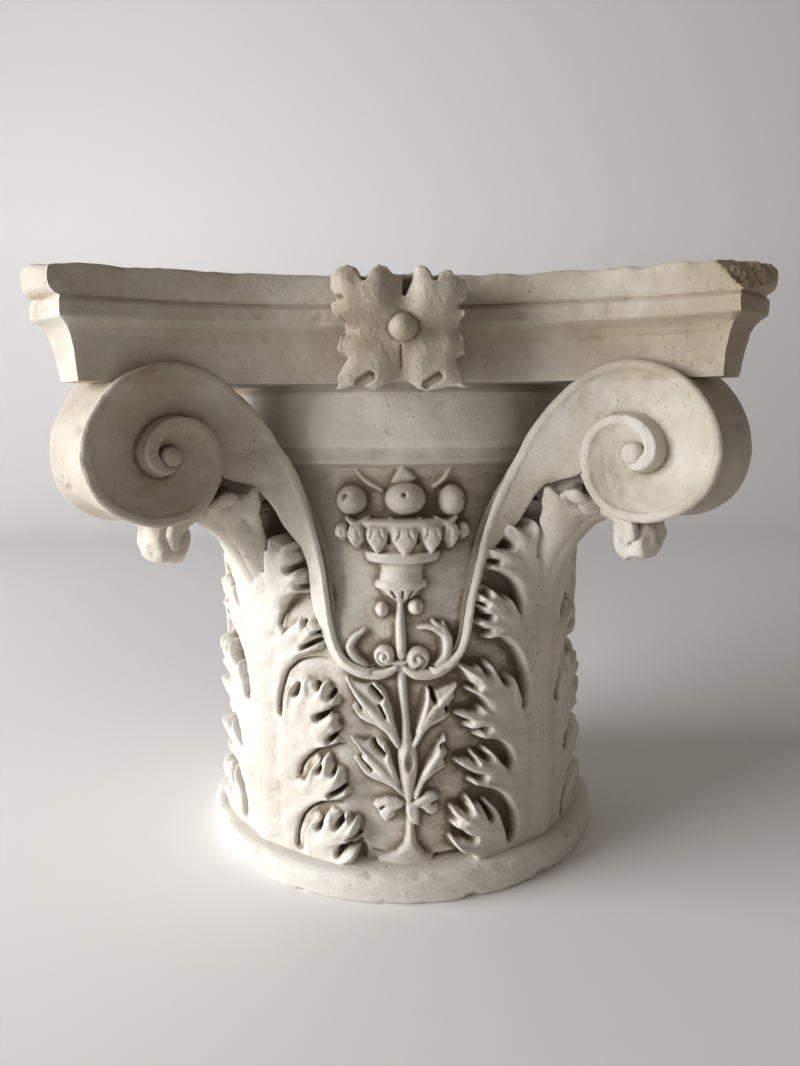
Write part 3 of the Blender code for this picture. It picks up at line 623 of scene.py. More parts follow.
leftClaws = [{  # the lowest
    "outline": (
        (-64, 12), (-60.8, 20), (-61, 27), (-58.7, 35), (-54.8, 40.6), (-51.4, 43.6), (-49.4, 41.4),
        (-51.4, 35), (-48, 37.8), (-45.8, 44), (-42, 48), (-38.2, 46.6), (-37.4, 42.8), (-38.6, 38.8),
        (-35.6, 41.6), (-32.8, 45), (-30.8, 41.6), (-27, 42.8), (-25.8, 38.6), (-28.4, 34.6), (-25.6, 32),
        (-27.4, 28.6), (-31, 29.6), (-36.6, 27), (-38.6, 22), (-35.4, 20.8), (-32, 24.4), (-27.4, 25.2),
        (-26.4, 21.4), (-29.4, 16), (-30, 12),
    ),
    "fingers": (
        ((-63, 18, 4), (-61, 27, 2.4), (-57.4, 34, 2.2), (-52.4, 42, 1.1)),
        ((-60, 18, 5), (-52, 27, 5), (-45, 35.5, 3.6), (-42, 46, 1.4)),
        ((-56, 18, 5), (-46, 28, 4.8), (-37.6, 35.4, 3.2), (-33.4, 43.6, 1.2)),
        ((-50, 25, 5), (-40, 31, 3.6), (-32, 35.4, 2.4), (-27.8, 41.6, 1.2)),
        ((-46, 26, 4), (-37, 29.6, 2.4), (-28.4, 32, 1.4)),
        ((-60, 14, 5), (-48, 15.5, 3.6), (-38, 17.2, 2.8), (-32, 20.6, 2.4), (-28.2, 23.2, 1.4)),
    ),
    "holes": (
        ((-50.8, 35, 1.8), (-49, 38, 1.3)), ((-38.8, 38.2, 1.5), (-37, 41, 1.9), (-34.6, 42.6, 1)),
        ((-30.4, 31.8, 1.4), (-27, 32.4, 1.5)),
        ((-38.4, 21, 1.4), (-37, 24.4, 1.8), (-33, 26.6, 1.4), (-27, 28, 1.9)),
        ((-28, 13, 2.4), (-25.6, 19, 2.6), (-25, 24.6, 1.8)),
    ),
    "gap": ((-36, 48.4, 3.4), (-44, 48, 3.6), (-51.5, 45.4, 3.8), (-57.5, 40, 3.8), (-61.4, 33, 3.5),
            (-63.4, 26, 3.1), (-63.9, 20.6, 2.8)),
}, {  # the second
    "outline": (
        (-78, 22), (-70, 24), (-67.6, 27), (-66, 32), (-62.3, 38.9), (-57.5, 45.2), (-52, 50.2), (-45, 52.4),
        (-37.5, 53.4), (-31.4, 58.6), (-33.4, 61), (-38, 59.6), (-42, 58.6), (-38.4, 62), (-34.8, 63.6),
        (-34.2, 68), (-35.6, 72.4), (-39.2, 73.2), (-40.6, 71.2), (-41.4, 76), (-44.2, 80.4), (-46.8, 77.6),
        (-49.8, 70), (-49.2, 76.4), (-51.6, 79), (-55.4, 72.4), (-57.2, 66), (-60, 63), (-78, 62),
    ),
    "fingers": (
        ((-72, 36, 6), (-63, 50, 5), (-56.6, 60, 3.2), (-54, 68, 2), (-51.4, 77, 0.9)),
        ((-68, 38, 6), (-57, 52, 5.6), (-49, 62, 4), (-45.4, 70, 2.4), (-44, 78.6, 1)),
        ((-60, 46, 5), (-48, 59, 4.4), (-40, 65.5, 2.8), (-36.6, 71, 1.4)),
        ((-56, 52, 5), (-44, 60.4, 3), (-36.4, 65, 1.8)),
        ((-72, 34, 5), (-60, 46.6, 4), (-50, 53.4, 2.2), (-41, 55.4, 1.4), (-32.6, 58.8, 0.7)),
    ),
    "holes": (((-49.8, 69.4, 1.5), (-48.4, 72, 1.1)), ((-40.2, 69.8, 1.2), (-39.8, 71.6, 1)),
              ((-41.6, 57, 1.4), (-38, 58.6, 1.3), (-34.6, 61.2, 1))),
    "gap": ((-34, 83.6, 3.4), (-41, 82.6, 3.2), (-48, 80.4, 3.2), (-54, 75.4, 3.4), (-58.6, 69.4, 3.6),
            (-60.5, 64.6, 2.9)),
}, {  # the third
    "outline": (
        (-82, 56), (-78, 70), (-75, 84), (-73.4, 98), (-71.4, 108), (-68.4, 115.6), (-66.8, 120.4),
        (-64.4, 119.6), (-65.8, 112.6), (-63, 114), (-60.4, 121), (-57, 122.4), (-52, 122), (-50, 119.6),
        (-48.4, 118.6), (-46.6, 121.4), (-43.4, 122), (-41.6, 118.6), (-40.8, 116), (-38.2, 113.6),
        (-36.8, 110), (-40.4, 108.8), (-45, 106.4), (-50.6, 102.8), (-47, 101.6), (-42, 105), (-39, 103.2),
        (-37.4, 98.8), (-37.2, 95.6), (-40.6, 93.2), (-43.4, 89.8), (-40.6, 90.6), (-37, 89), (-39.6, 86.4),
        (-45, 85), (-52.5, 81.8), (-58.7, 76.9), (-62.3, 71), (-63.2, 64), (-70, 56),
    ),
    "fingers": (
        ((-79, 62, 5), (-75, 84, 4.4), (-72, 99, 3.4), (-69.4, 110, 2.2), (-66.8, 119, 1.1)),
        ((-76, 62, 6), (-69, 84, 6), (-62, 103, 5), (-58.4, 113, 3.4), (-57, 120.6, 1.6)),
        ((-70, 74, 6), (-60, 93, 5.6), (-51.6, 108, 4.2), (-47.4, 115, 2.6), (-44.6, 121, 1.1)),
        ((-62, 88, 5), (-52, 103, 4), (-44.6, 109.6, 2.8), (-38.4, 111.8, 1.3)),
        ((-70, 66, 6), (-60, 82, 5.6), (-50, 93, 4.2), (-43, 98.6, 2.8), (-39.4, 102, 1.4)),
        ((-58, 84, 5), (-46, 93.2, 3), (-38.6, 96.4, 1.6)),
        ((-74, 64, 5), (-63, 76.6, 4), (-53, 83.8, 2.4), (-44, 86.6, 1.6), (-38, 89, 0.8)),
    ),
    "holes": (
        ((-64.8, 113.2, 1.9), (-63.4, 117.4, 1.7)), ((-50.4, 120.4, 0.9), (-49.2, 118, 1)),
        ((-41.4, 114.2, 1.4), (-40.4, 117, 1.1)),
        ((-49.6, 101.2, 1.9), (-46, 103.2, 1.6), (-43.6, 104.8, 1.1)),
        ((-42.2, 89.2, 1.6), (-40.2, 90.8, 1.2)),
    ),
    "gap": ((-44, 130.6, 5.8), (-52.5, 130, 6.2), (-60.5, 127.6, 5.8), (-66.8, 123.4, 4.6),
            (-71.2, 116.6, 3.2), (-74.1, 109.6, 2.4), (-75.5, 103, 2.2), (-75.6, 99.2, 2.2)),
}, {  # the fourth
    "outline": (
        (-86, 98), (-79, 104), (-76.6, 112.5), (-74.4, 121.4), (-70.6, 129.8), (-65.2, 133.8), (-57.6, 136.8),
        (-48.4, 141.4), (-47.2, 143.6), (-53, 143), (-57.8, 141.4), (-52, 145.6), (-47, 147.8), (-49, 150.6),
        (-47.4, 153.2), (-51.6, 155.2), (-56, 155.6), (-61, 157.2), (-64.4, 153.6), (-68, 150.6), (-72, 147),
        (-78, 146), (-86, 146),
    ),
    "fingers": (
        ((-79, 112, 6), (-76, 128, 5.6), (-69.6, 142, 4.4), (-62, 149.4, 3), (-56, 153.6, 1.6)),
        ((-73, 132, 5), (-63, 144, 4), (-54, 149.4, 2.6), (-49, 152, 1.3)),
        ((-77, 114, 5), (-71.6, 128, 4), (-64, 136.2, 2.4), (-55, 140.4, 1.5), (-48.4, 142, 0.8)),
    ),
    "holes": (((-58.4, 140.8, 1.2), (-53, 143.6, 1.4), (-48.4, 146, 1)),
              ((-57.8, 155.4, 0.9), (-56.6, 153.8, 0.9)), ((-50, 150, 0.8), (-47.6, 150.4, 0.9))),
    "gap": ((-54, 165.6, 5.4), (-61.5, 162.8, 5.6), (-68.2, 157.2, 4.6), (-71.8, 151.8, 2.8)),
}, {  # the highest
    "outline": (
        (-92.5, 144), (-78, 146), (-75, 152), (-74.2, 160), (-72, 165.6), (-67.5, 169.8), (-61, 172),
        (-56, 171.8), (-56, 174.2), (-59.4, 176), (-57, 178.4), (-56.6, 182.8), (-60.6, 185.4),
        (-65.4, 187.4), (-62.2, 190.4), (-60.6, 194.6), (-61.8, 200.6), (-66.6, 199.8), (-69.4, 203.4),
        (-74, 204), (-78.4, 199.6), (-82.2, 201), (-86, 196), (-87, 188), (-92.5, 184),
    ),
    "fingers": (
        ((-80, 154, 6), (-76, 176, 6), (-73.4, 192, 4.2), (-71.6, 202.4, 1.8)),
        ((-78, 166, 6), (-71, 184, 5), (-66, 193, 3.4), (-63, 199.4, 1.5)),
        ((-72, 182, 5), (-66, 188.6, 2.8), (-61.6, 192, 1.4)),
        ((-78, 160, 6), (-69, 175, 4.6), (-62, 180.4, 2.8), (-57.6, 182, 1.3)),
        ((-76, 164, 5), (-66, 173, 3), (-57.4, 173.6, 1.2)),
    ),
    "holes": (((-75.4, 201.6, 1.6), (-75.2, 197.6, 1)), ((-64.4, 185.2, 1.9), (-61.4, 187, 1.6)),
              ((-60.8, 196, 1.3), (-59.6, 196, 1.2)), ((-59.2, 175.4, 1.5), (-57.4, 175, 1.4))),
    "gap": None,
}]


def raiseDome(sheet, place, size, base, top):
    # a smooth swelling; place is (u, z), size its half width and half height
    x, y = (sheet["u"] - place[0]) / size[0], (sheet["z"] - place[1]) / size[1]
    reach = x * x + y * y
    dome = base + (top - base) * np.sqrt(limit(1 - reach))
    sheet["top"] = np.where(reach < 1, np.maximum(sheet["top"], dome), sheet["top"])


def raiseTurned(sheet, rows, centre, base, share):
    # a vase seen from the front: rows of (z, half width), the wide ones standing further off its base
    rows = np.array(rows, float)
    width = np.interp(sheet["z"], rows[:, 0], rows[:, 1], left=0, right=0)
    middle = np.interp(sheet["z"], rows[:, 0], np.interp(rows[:, 0], *zip(*centre)))
    x = np.abs(sheet["u"] - middle) / np.maximum(width, 0.01)
    swell = base + share * np.sqrt(width * limit(1 - x * x))
    sheet["top"] = np.where((x < 1) & (width > 0), np.maximum(sheet["top"], swell), sheet["top"])


def raiseOutline(sheet, outline, top, crown, rounding, edge=1.1):
    # a flat shape with softly rounded edges; outline is its corners (u, z), in order
    points = np.array(outline, float)
    window = cellsAround(sheet, points, edge)
    x, y = sheet["u"][window], sheet["z"][window]
    nearest = np.full(x.shape, 1e9)
    inside = np.zeros(x.shape, bool)
    for a, b in zip(points, np.roll(points, -1, axis=0)):
        run = b - a
        nearest = np.minimum(nearest, fromSegment(x, y, a, b)[0])
        crosses = (a[1] > y) != (b[1] > y)
        rise = run[1] if abs(run[1]) > 1e-9 else 1e-9
        inside ^= crosses & (x < a[0] + (y - a[1]) / rise * run[0])
    depth = np.where(inside, nearest, -nearest)
    face = top - crown * (1 - limit(depth / rounding))**2
    share = smoothStep(depth / edge + 0.5)
    ground, old = sheet["ground"][window], sheet["top"][window]
    new = ground + (face - ground) * share
    sheet["top"][window] = np.where(share > 0, softMax(old, new, 0.8 * share), old)


def sampleSheet(sheet, field, u, z):
    x = np.clip((u - sheet["low"][0]) / sheet["step"], 0, field.shape[1] - 1.001)
    y = np.clip((z - sheet["low"][1]) / sheet["step"], 0, field.shape[0] - 1.001)
    i, j = y.astype(int), x.astype(int)
    s, t = y - i, x - j
    return ((field[i, j] * (1 - t) + field[i, j + 1] * t) * (1 - s)
            + (field[i + 1, j] * (1 - t) + field[i + 1, j + 1] * t) * s)


# how hollows are looked for: within what reach, how deep a full one is, and its share of the dirt and painted
# shade
hollowRounds = ((1.6, 1.1, 0.55), (4.5, 3.6, 0.5), (12, 8, 0.28))
edgeReach = 1.2


def sheetMasks(sheet):
    # where dirt and painted shade lie and where edges are worn and painted with a highlight, from the relief
    # itself
    top, step = sheet["top"], sheet["step"]
    lower = np.zeros(top.shape)
    for reach, deep, share in hollowRounds:
        lower += share * np.clip((boxBlur(top, reach / step) - top) / deep, -0.3, 1.2)
    proud = limit(top - boxBlur(top, edgeReach / step))
    return {"hollow": limit(lower * 1.05), "edge": proud}


def closeBack(bm, inward):
    # the open rim of a sheet is drawn back and filled
    rim = [e for e in bm.edges if e.is_boundary]
    drawn = bmesh.ops.extrude_edge_only(bm, edges=rim)["geom"]
    inner = [g for g in drawn if isinstance(g, bmesh.types.BMVert)]
    for vert in inner:
        vert.co = inward(vert.co)
    bmesh.ops.holes_fill(bm, edges=[e for e in bm.edges if e.is_boundary], sides=0)
    bmesh.ops.recalc_face_normals(bm, faces=bm.faces)


def evenOut(bm, pick, rounds):
    # the picked points move towards their neighbours
    for _ in range(rounds):
        bmesh.ops.smooth_vert(bm, verts=pick(), factor=0.5, use_axis_x=True, use_axis_y=True, use_axis_z=True)


def thickenInward(bm, thickness):
    # a second skin under the first, joined to it round the rim
    front = bm.faces[:]
    drawn = bmesh.ops.extrude_face_region(bm, geom=front, use_keep_orig=True)["geom"]
    back = [g for g in drawn if isinstance(g, bmesh.types.BMVert)]
    bm.normal_update()
    inward = {}
    for vert in back:
        normal = Vector()
        for face in vert.link_faces:
            normal += face.normal
        inward[vert] = -normal.normalized() * thickness if normal.length > 1e-6 else Vector()
    for vert, move in inward.items():
        vert.co += move
    evenOut(bm, lambda: back, 4)


def cutAway(mesh, keep):
    # the points that aren't kept go, and the cut edge is evened out
    def cut(bm):
        bm.verts.ensure_lookup_table()
        gone = [bm.verts[i] for i in np.flatnonzero(~keep)]
        bmesh.ops.delete(bm, geom=gone, context="VERTS")
        bmesh.ops.delete(bm, geom=[v for v in bm.verts if not v.link_faces], context="VERTS")
        evenOut(bm, lambda: [v for v in bm.verts if v.is_boundary], 3)

    worked(mesh, cut)


def drapedMesh(sheet, place, masks, triangles, keep):
    # the relief as an open mesh: place turns (u, z, top) into points; keep, if given, is a field and the
    # value it has to pass
    rows, columns = sheet["top"].shape
    mesh, a, b = gridMesh(columns - 1, rows - 1)
    u = sheet["low"][0] + a * (sheet["high"][0] - sheet["low"][0])
    z = sheet["low"][1] + b * (sheet["high"][1] - sheet["low"][1])
    setPoints(mesh, place(u, z, sampleSheet(sheet, sheet["top"], u, z)))
    for name, field in masks.items():
        setMask(mesh, name, sampleSheet(sheet, field, u, z))
    if keep:
        field, least = keep
        cutAway(mesh, sampleSheet(sheet, field, u, z) > least)
    return thinned(mesh, triangles)


def sheetMesh(sheet, place, inward, triangles, cut=None):
    # the relief as a closed mesh; what is below cut is left out
    keep = (sheet["top"], cut) if cut else None
    mesh = drapedMesh(sheet, place, sheetMasks(sheet), triangles, keep)
    return worked(mesh, lambda bm: closeBack(bm, inward))


# One face of the bell: leaves, stems, vase and stalk.
faceSizes = {
    "halfWidth": 93.4, "low": 12.0, "high": 247.0, "step": 0.5,
    "blade": 118.0,  # the leaf between its fingers
    "fingerRise": 2.3,
    # half the width of clefts that are filled, right and left, and how much more the tips stand out
    "cleft": (1.6, 2.3), "curl": 0.3,
    # the gaps between claws: floor, share of their drawn width, and the groove beside them
    "rightGap": {"floor": 108.6, "width": 0.92, "groove": 0},
    "leftGap": {"floor": 116.0, "width": 0.9, "groove": 0.5, "grooveDepth": 3.6},
    "leftGround": (4.6, 2.4),  # how much higher the ground lies on the left, and again near the blade
    "fillTo": 0.8,  # how far a narrow cleft is filled
    "holeFloor": 1.4,  # above the deepest ground
    "leafHoleFloor": 104,
    "softness": 0.45,  # the share of a blurred copy, which takes the sharpness off
    "ripples": ((0.22, 9, 3), (0.09, 2.6, 5)),  # share, size, seed
    "cornerFall": 0.9,  # how fast it sinks under the next face past the corner
    "triangles": 104000,
}
groundCurve = (
    (12, 110.5), (24, 109.2), (100, 108.8), (150, 108.2), (205, 107.2), (236, 106.6), (243, 107.6),
    (248, 109.2),
)

# How far the undivided blade reaches from the corner, and how it leans out there: (z, reach), (z, lean)
bladeReach = ((12, 29), (66, 27), (103, 17), (130, 18), (160, 21), (184, 18), (196, 12), (207, 10), (222, 7))
bladeLean = ((138, 0), (160, 1.6), (180, 5), (195, 9), (207, 13))
# the crevices between the highest claws and the leaf's neck (u, z, half width)
neckCrevices = (
    ((79.6, 213, 5.2), (78.8, 205, 3.6), (78, 198, 2.2), (77.4, 191.5, 1)),
    ((-78, 212, 5.6), (-79.2, 204, 4), (-80.2, 196, 2.5), (-80.6, 188, 1.4), (-80.4, 184, 0.8)),
)

# The stems under the ribbons, as the middle of the band (u, z, half width, top)
rightStem = (
    (40.6, 169, 2.7, 113.8), (38.8, 160, 2.7, 114), (37.4, 150, 2.7, 114.2), (34.7, 141, 3, 114.4),
    (30, 135, 3.3, 114.6), (24.5, 130.4, 3.4, 114.8), (18, 127.6, 3.2, 115.2), (12, 127, 3.1, 115.4),
    (6, 127.8, 2.8, 115), (1.5, 130.6, 1.8, 114.4),
)
leftStem = (
    (-48, 171, 5.2, 113.6), (-45.4, 159, 5, 114), (-42.3, 147, 4.2, 114.2), (-39.4, 140, 3.7, 114.4),
    (-34.5, 134, 3.5, 114.6), (-29, 130.2, 3.3, 114.8), (-22, 127.8, 3.2, 115.2), (-15, 127.4, 3, 115.4),
    (-9, 128.6, 2.6, 115), (-4, 131.4, 1.8, 114.4),
)

vaseSizes = {
    "middle": ((160, -1), (180, -0.8), (197, 0.6), (212, 1.2)),
    "body": (
        (167.4, 2.6), (169.4, 4.8), (171.4, 9.6), (174.6, 12.6), (175.6, 12.8), (175.8, 15), (177.6, 15.9),
        (180, 15.2), (180.3, 13.6), (185.2, 12.6), (190.2, 13.8), (190.6, 20.6), (193.8, 22.6), (194.2, 21.6),
        (194.5, 22.4), (196.2, 22.6), (196.6, 17), (202, 21), (208, 27), (211, 29), (213.4, 28), (214.4, 20),
    ),
    "stand": 2.65, "base": 106.6,
    "leafTop": (108.5, 15, 44),  # of the rim's leaves: at its ends, more in its middle, its half width
    "gadroons": (-9.4, -4.8, 0.2, 4.6, 8.4),
    "rimShadows": (-20.5, -7.2, 8.6, 21.6),
    "fruitBase": 105,
    "eyes": (((1.2, 228, 1, 115.5), (1.5, 227.6, 1, 115.5)), ((1, 235, 1.2, 112), (1, 232.6, 0.5, 114))),
    "star": ((-31.2, 227), ((2.4, 0.4), (-2.2, 0.6), (0.4, 2.6), (-0.6, -2.4))),  # its middle and its rays
    "smallEye": ((35, 225, 0.8, 109), (35.2, 224.8, 0.8, 109)),
    "backLeaf": ((-6.4, 233.5), (0, 244.8), (8.8, 236), (4, 232)),
    "cups": ((-25.5, 6.4), (2, 8.6), (25.5, 6.2)),  # where the fruit sits: middle and half width
    "twigs": (((-29.5, 243, 0.8, 108), (-21, 234.6, 1.2, 109.5), (-11.5, 229.6, 1, 110)),
              ((31, 243, 0.8, 108), (25.5, 235.6, 1.2, 109.5), (19.6, 231.6, 1, 110))),
}
# leaves round the rim of the vase, hanging down: (u, half width, highest and lowest z)
rimLeaves = (
    (-34.4, 4, 211.5, 201.5), (-25.2, 5, 211.6, 197.8), (-13.2, 6.4, 211.4, 195.6), (1.4, 7.4, 211, 194.6),
    (15.6, 6.4, 211.2, 195.4), (27.2, 4.8, 211.6, 197.4), (35.6, 3.6, 211.5, 201.5),
)
# fruit in the vase: place, half sizes, top
fruits = (
    ((-29.6, 224), (9.6, 8.6), 117.5), ((29.6, 223.4), (8.6, 9.2), 117.5), ((2.2, 224.8), (12.2, 9.8), 120),
)


def besideLine(rows, share):
    # the same line moved sideways by a share of its half width
    line = np.array(rows, float)
    run = np.gradient(line[:, :2], axis=0)
    run /= np.maximum(np.linalg.norm(run, axis=1), 1e-9)[:, None]
    line[:, 0] += share * line[:, 2] * run[:, 1]
    line[:, 1] -= share * line[:, 2] * run[:, 0]
    return line


def raiseClaws(sheet, sizes):
    # lobes and ridges of all the claws, whose tips curl out from the bell
    before = sheet["top"].copy()
    for claws in (rightClaws, leftClaws):
        for claw in claws:
            raiseOutline(sheet, claw["outline"], sizes["blade"] + 0.2, crown=1.6, rounding=3.0, edge=1.3)
            for rows in claw["fingers"]:
                finger(sheet, rows, root=sizes["blade"], rise=sizes["fingerRise"])
    right, left = (fillClefts(sheet["top"], max(1, round(half / sheet["step"]))) for half in sizes["cleft"])
    filled = np.where(sheet["u"] > 0, right, left)
    raised = sheet["top"] - before
    raised += np.where(raised > 0.5, sizes["fillTo"] * (filled - sheet["top"]), 0)
    start = np.interp(sheet["z"], (150, 190), (62, 72))
    curl = sizes["curl"] * smoothStep((start - np.abs(sheet["u"])) / 30)
    sheet["top"] = before + raised * (1 + curl)


def cutClaws(sheet, claws, gap, holeFloor):
    # drilled holes, then the gaps that part the claws, and a groove where a gap meets the blade
    bottom = float(sheet["ground"].min()) + holeFloor
    for claw in claws:
        for rows in claw["holes"]:
            sinkStroke(sheet, [(u, z, half, bottom) for u, z, half in rows], edge=1.1)
    for claw in claws:
        if claw["gap"]:
            rows = [(u, z, half * gap["width"], gap["floor"]) for u, z, half in claw["gap"]]
            sinkStroke(sheet, rows, edge=1.5)
            if gap["groove"]:
                floor = gap["floor"] - gap["grooveDepth"]
                beside = besideLine(claw["gap"], gap["width"] * 0.9)
                sinkStroke(sheet, [(u, z, gap["groove"], floor) for u, z, _ in beside], edge=1.2)


def carveBlade(sheet, sizes):
    # the undivided leaf at each corner of the face
    u, z = sheet["u"], sheet["z"]
    fromCorner = cornerAt - np.abs(u)
    reach = np.interp(z, *zip(*bladeReach))
    lean = np.interp(z, *zip(*bladeLean)) * smoothStep((46 - fromCorner) / 40)
    face = sizes["blade"] + 1.6 * smoothStep((15 - fromCorner) / 14)
    share = smoothStep((reach - fromCorner) / 1.4 + 0.5) * smoothStep((222 - z) / 4)
    sheet["top"] = sheet["top"] + (face - sheet["top"]) * share
    return lean


def carveVase(sheet, sizes):
    for place, size, top in fruits:
        raiseDome(sheet, place, size, sizes["fruitBase"], top)
    raiseTurned(sheet, sizes["body"], sizes["middle"], sizes["base"], sizes["stand"])
    atEnds, more, rimHalf = sizes["leafTop"]
    for middle, half, high, low in rimLeaves:
        top = atEnds + more * math.sqrt(1 - (middle / rimHalf)**2)  # the rim turns away at its ends
        flank = ((0.7, high), (1, high - 4), (0.9, high - 8), (0.45, low + 3))
        outline = [(middle - share * half, z) for share, z in flank] + [(middle, low)]
        outline += [(middle + share * half, z) for share, z in reversed(flank)]
        raiseOutline(sheet, outline, top, crown=3.4, rounding=3.4, edge=1.0)
        for side in (-1, 1):
            sinkStroke(sheet, ((middle + side * 0.62 * half, high - 7.5, 0.3, top - 2.4),
                               (middle + side * 0.36 * half, high - 4.4, 0.5, top - 1.8),
                               (middle + side * 0.30 * half, high - 1, 0.3, top - 1.6)), edge=0.9)
    for u in sizes["gadroons"]:
        sinkStroke(sheet, ((u * 1.25, 174.8, 0.35, 109.5), (u * 0.8, 170.8, 0.3, 108)), edge=0.9)
    for u in sizes["rimShadows"]:
        sinkStroke(sheet, ((u, 202, 0.5, 112), (u * 1.01, 207, 0.3, 115)), edge=0.8)
    raiseOutline(sheet, sizes["backLeaf"], 110.5, crown=1.5, rounding=2.5)
    for rows in sizes["eyes"]:
        sinkStroke(sheet, rows, edge=0.9)
    (u, z), rays = sizes["star"]
    for across, up in rays:
        sinkStroke(sheet, ((u, z, 0.7, 113), (u + across, z + up, 0.4, 115)), edge=0.7)
    sinkStroke(sheet, sizes["smallEye"], edge=0.8)
    for u, half in sizes["cups"]:
        rows = ((u - half, 214.5, 1.2, 113.5), (u, 211.6, 1.7, 117.6), (u + half, 214.5, 1.2, 113.5))
        raiseStroke(sheet, rows, crown=1.2, edge=1.0, soft=0.8)
    for rows in sizes["twigs"]:
        raiseStroke(sheet, rows, crown=0.6, edge=1.1, soft=0.8)


# The stalk and what springs from it. Strokes are rows of (u, z, half width, top).
stalkSizes = {
    "berries": (((-12.2, 163.8), (4.2, 4.8), 114.2), ((7.6, 165.2), (5, 5), 115)),  # place, half sizes, top
    "berryEyes": (
        ((10, 165.2, 0.8, 111), (10.2, 165, 0.8, 111)), ((-14.2, 164.6, 0.7, 111), (-14.4, 164.4, 0.7, 111)),
    ),
    "berryStems": (((-9.6, 162, 1, 107), (-4, 157, 1.2, 108.5), (-1.4, 152, 1.2, 109)),
                   ((4.4, 162, 1, 107), (1.6, 157, 1.2, 108.5), (-0.6, 152, 1.2, 109))),
    "underVase": (
        (-1.2, 170, 1.5, 111), (-1.4, 160, 2.4, 112.5), (-1.2, 148, 2.9, 113.5), (-0.9, 138, 3, 113),
    ),
    "sickles": (  # leaflets that spring from the stems
        ((20, 131.5, 2.2, 113), (25.2, 137, 2.9, 114.5), (26, 144, 2.9, 115), (24.6, 150, 2.5, 114.5),
         (24.0, 155.6, 0.9, 112.5)),
        ((27, 139, 2.2, 113), (27, 146, 2.4, 114.6), (24, 152, 1.8, 114), (18, 156.6, 1.0, 112.5)),
        ((25, 148, 2.2, 113.6), (19.5, 152.4, 1.9, 114), (14, 153.8, 1.5, 113), (9.4, 153.4, 0.8, 111.5)),
        ((-22, 131.6, 2.0, 113), (-27.6, 136, 2.6, 114.4), (-30.8, 142, 2.4, 115), (-28.4, 147.6, 1.9, 114.4),
         (-22.4, 152.2, 0.8, 112.4)),
    ),
    "curls": (((-10.8, 137.6), 6.4, -1), ((8.6, 135.8), 7.2, 1)),  # middle, size and which way it winds
    "bridge": ((-10, 134, 1.2, 113.6), (1.5, 134.2, 1.2, 113.6)),
    "neck": ((-0.9, 132, 2.9, 112.6), (-0.2, 118, 2.5, 112.6), (1, 104, 2.3, 112.6), (1.6, 92, 2.7, 113)),
    "trunk": ((1.8, 92, 3, 113), (2, 84, 5.4, 115), (2.3, 74, 6, 115.4), (2.5, 64, 5, 114.8),
              (2.7, 55, 2.6, 113.4)),
    "trunkHole": (
        (3.4, 83.4, 0.5, 113.6), (3.5, 78, 2.3, 112.2), (3.5, 74.6, 2.1, 112.2), (3.4, 72.4, 1, 113),
    ),
    "shank": ((3.2, 54, 2.2, 112.6), (3.6, 40, 2.2, 112.4), (3.8, 30, 3, 112.6), (3.8, 22, 5, 113)),
    "foot": ((1.6, 40), (1.1, 33), (-0.8, 27.4), (-5, 23), (-10.6, 20.4), (-16, 18.6), (-15.4, 10), (24, 10),
             (24, 16.6), (17.6, 18.6), (12, 21.6), (8, 26.6), (6.4, 33), (6, 40)),
    "footRoll": ((-14, 14.4, 3, 114.6), (4, 15.6, 3.4, 115.4), (22, 14, 3, 114.6)),
    "footCrease": ((-19, 22.4, 0.5, 108), (-14, 21.4, 0.8, 108.4), (-10, 22.4, 0.5, 110)),
}


def carveStalk(sheet, sizes):
    for place, size, top in sizes["berries"]:
        raiseDome(sheet, place, size, 106, top)
    for rows in sizes["berryEyes"]:
        sinkStroke(sheet, rows, edge=0.8)
    for rows in sizes["berryStems"]:
        raiseStroke(sheet, rows, crown=0.6)
    raiseStroke(sheet, sizes["underVase"], crown=2.2, edge=1.1)
    for rows in sizes["sickles"]:
        raiseStroke(sheet, rows, crown=1.8, edge=1.1, soft=1.0)
    # the curls the stems end in: a dome each, with a groove that winds into it
    for middle, size, turn in sizes["curls"]:
        raiseDome(sheet, middle, (size, size), 109.5, 115.2)
        rows = []
        for k in range(9):
            angle = math.radians(-95 + 42 * k) * turn + (math.pi if turn < 0 else 0)
            reach = size * (0.70 - 0.075 * k)
            rows.append((middle[0] + reach * math.cos(angle), middle[1] + reach * math.sin(angle),
                         0.6, 111.0 + 0.25 * k))
        sinkStroke(sheet, rows, edge=1.7)
    raiseStroke(sheet, sizes["bridge"], crown=0.8)
    raiseStroke(sheet, sizes["neck"], crown=2.4, edge=1.1)
    raiseStroke(sheet, sizes["trunk"], crown=3.2, edge=1.2)
    sinkStroke(sheet, sizes["trunkHole"], edge=1.6)
    raiseStroke(sheet, sizes["shank"], crown=2.0)
    raiseOutline(sheet, sizes["foot"], 113.6, crown=2.6, rounding=4.0)
    raiseStroke(sheet, sizes["footRoll"], crown=1.6, edge=1.2)
    sinkStroke(sheet, sizes["footCrease"], edge=0.9)


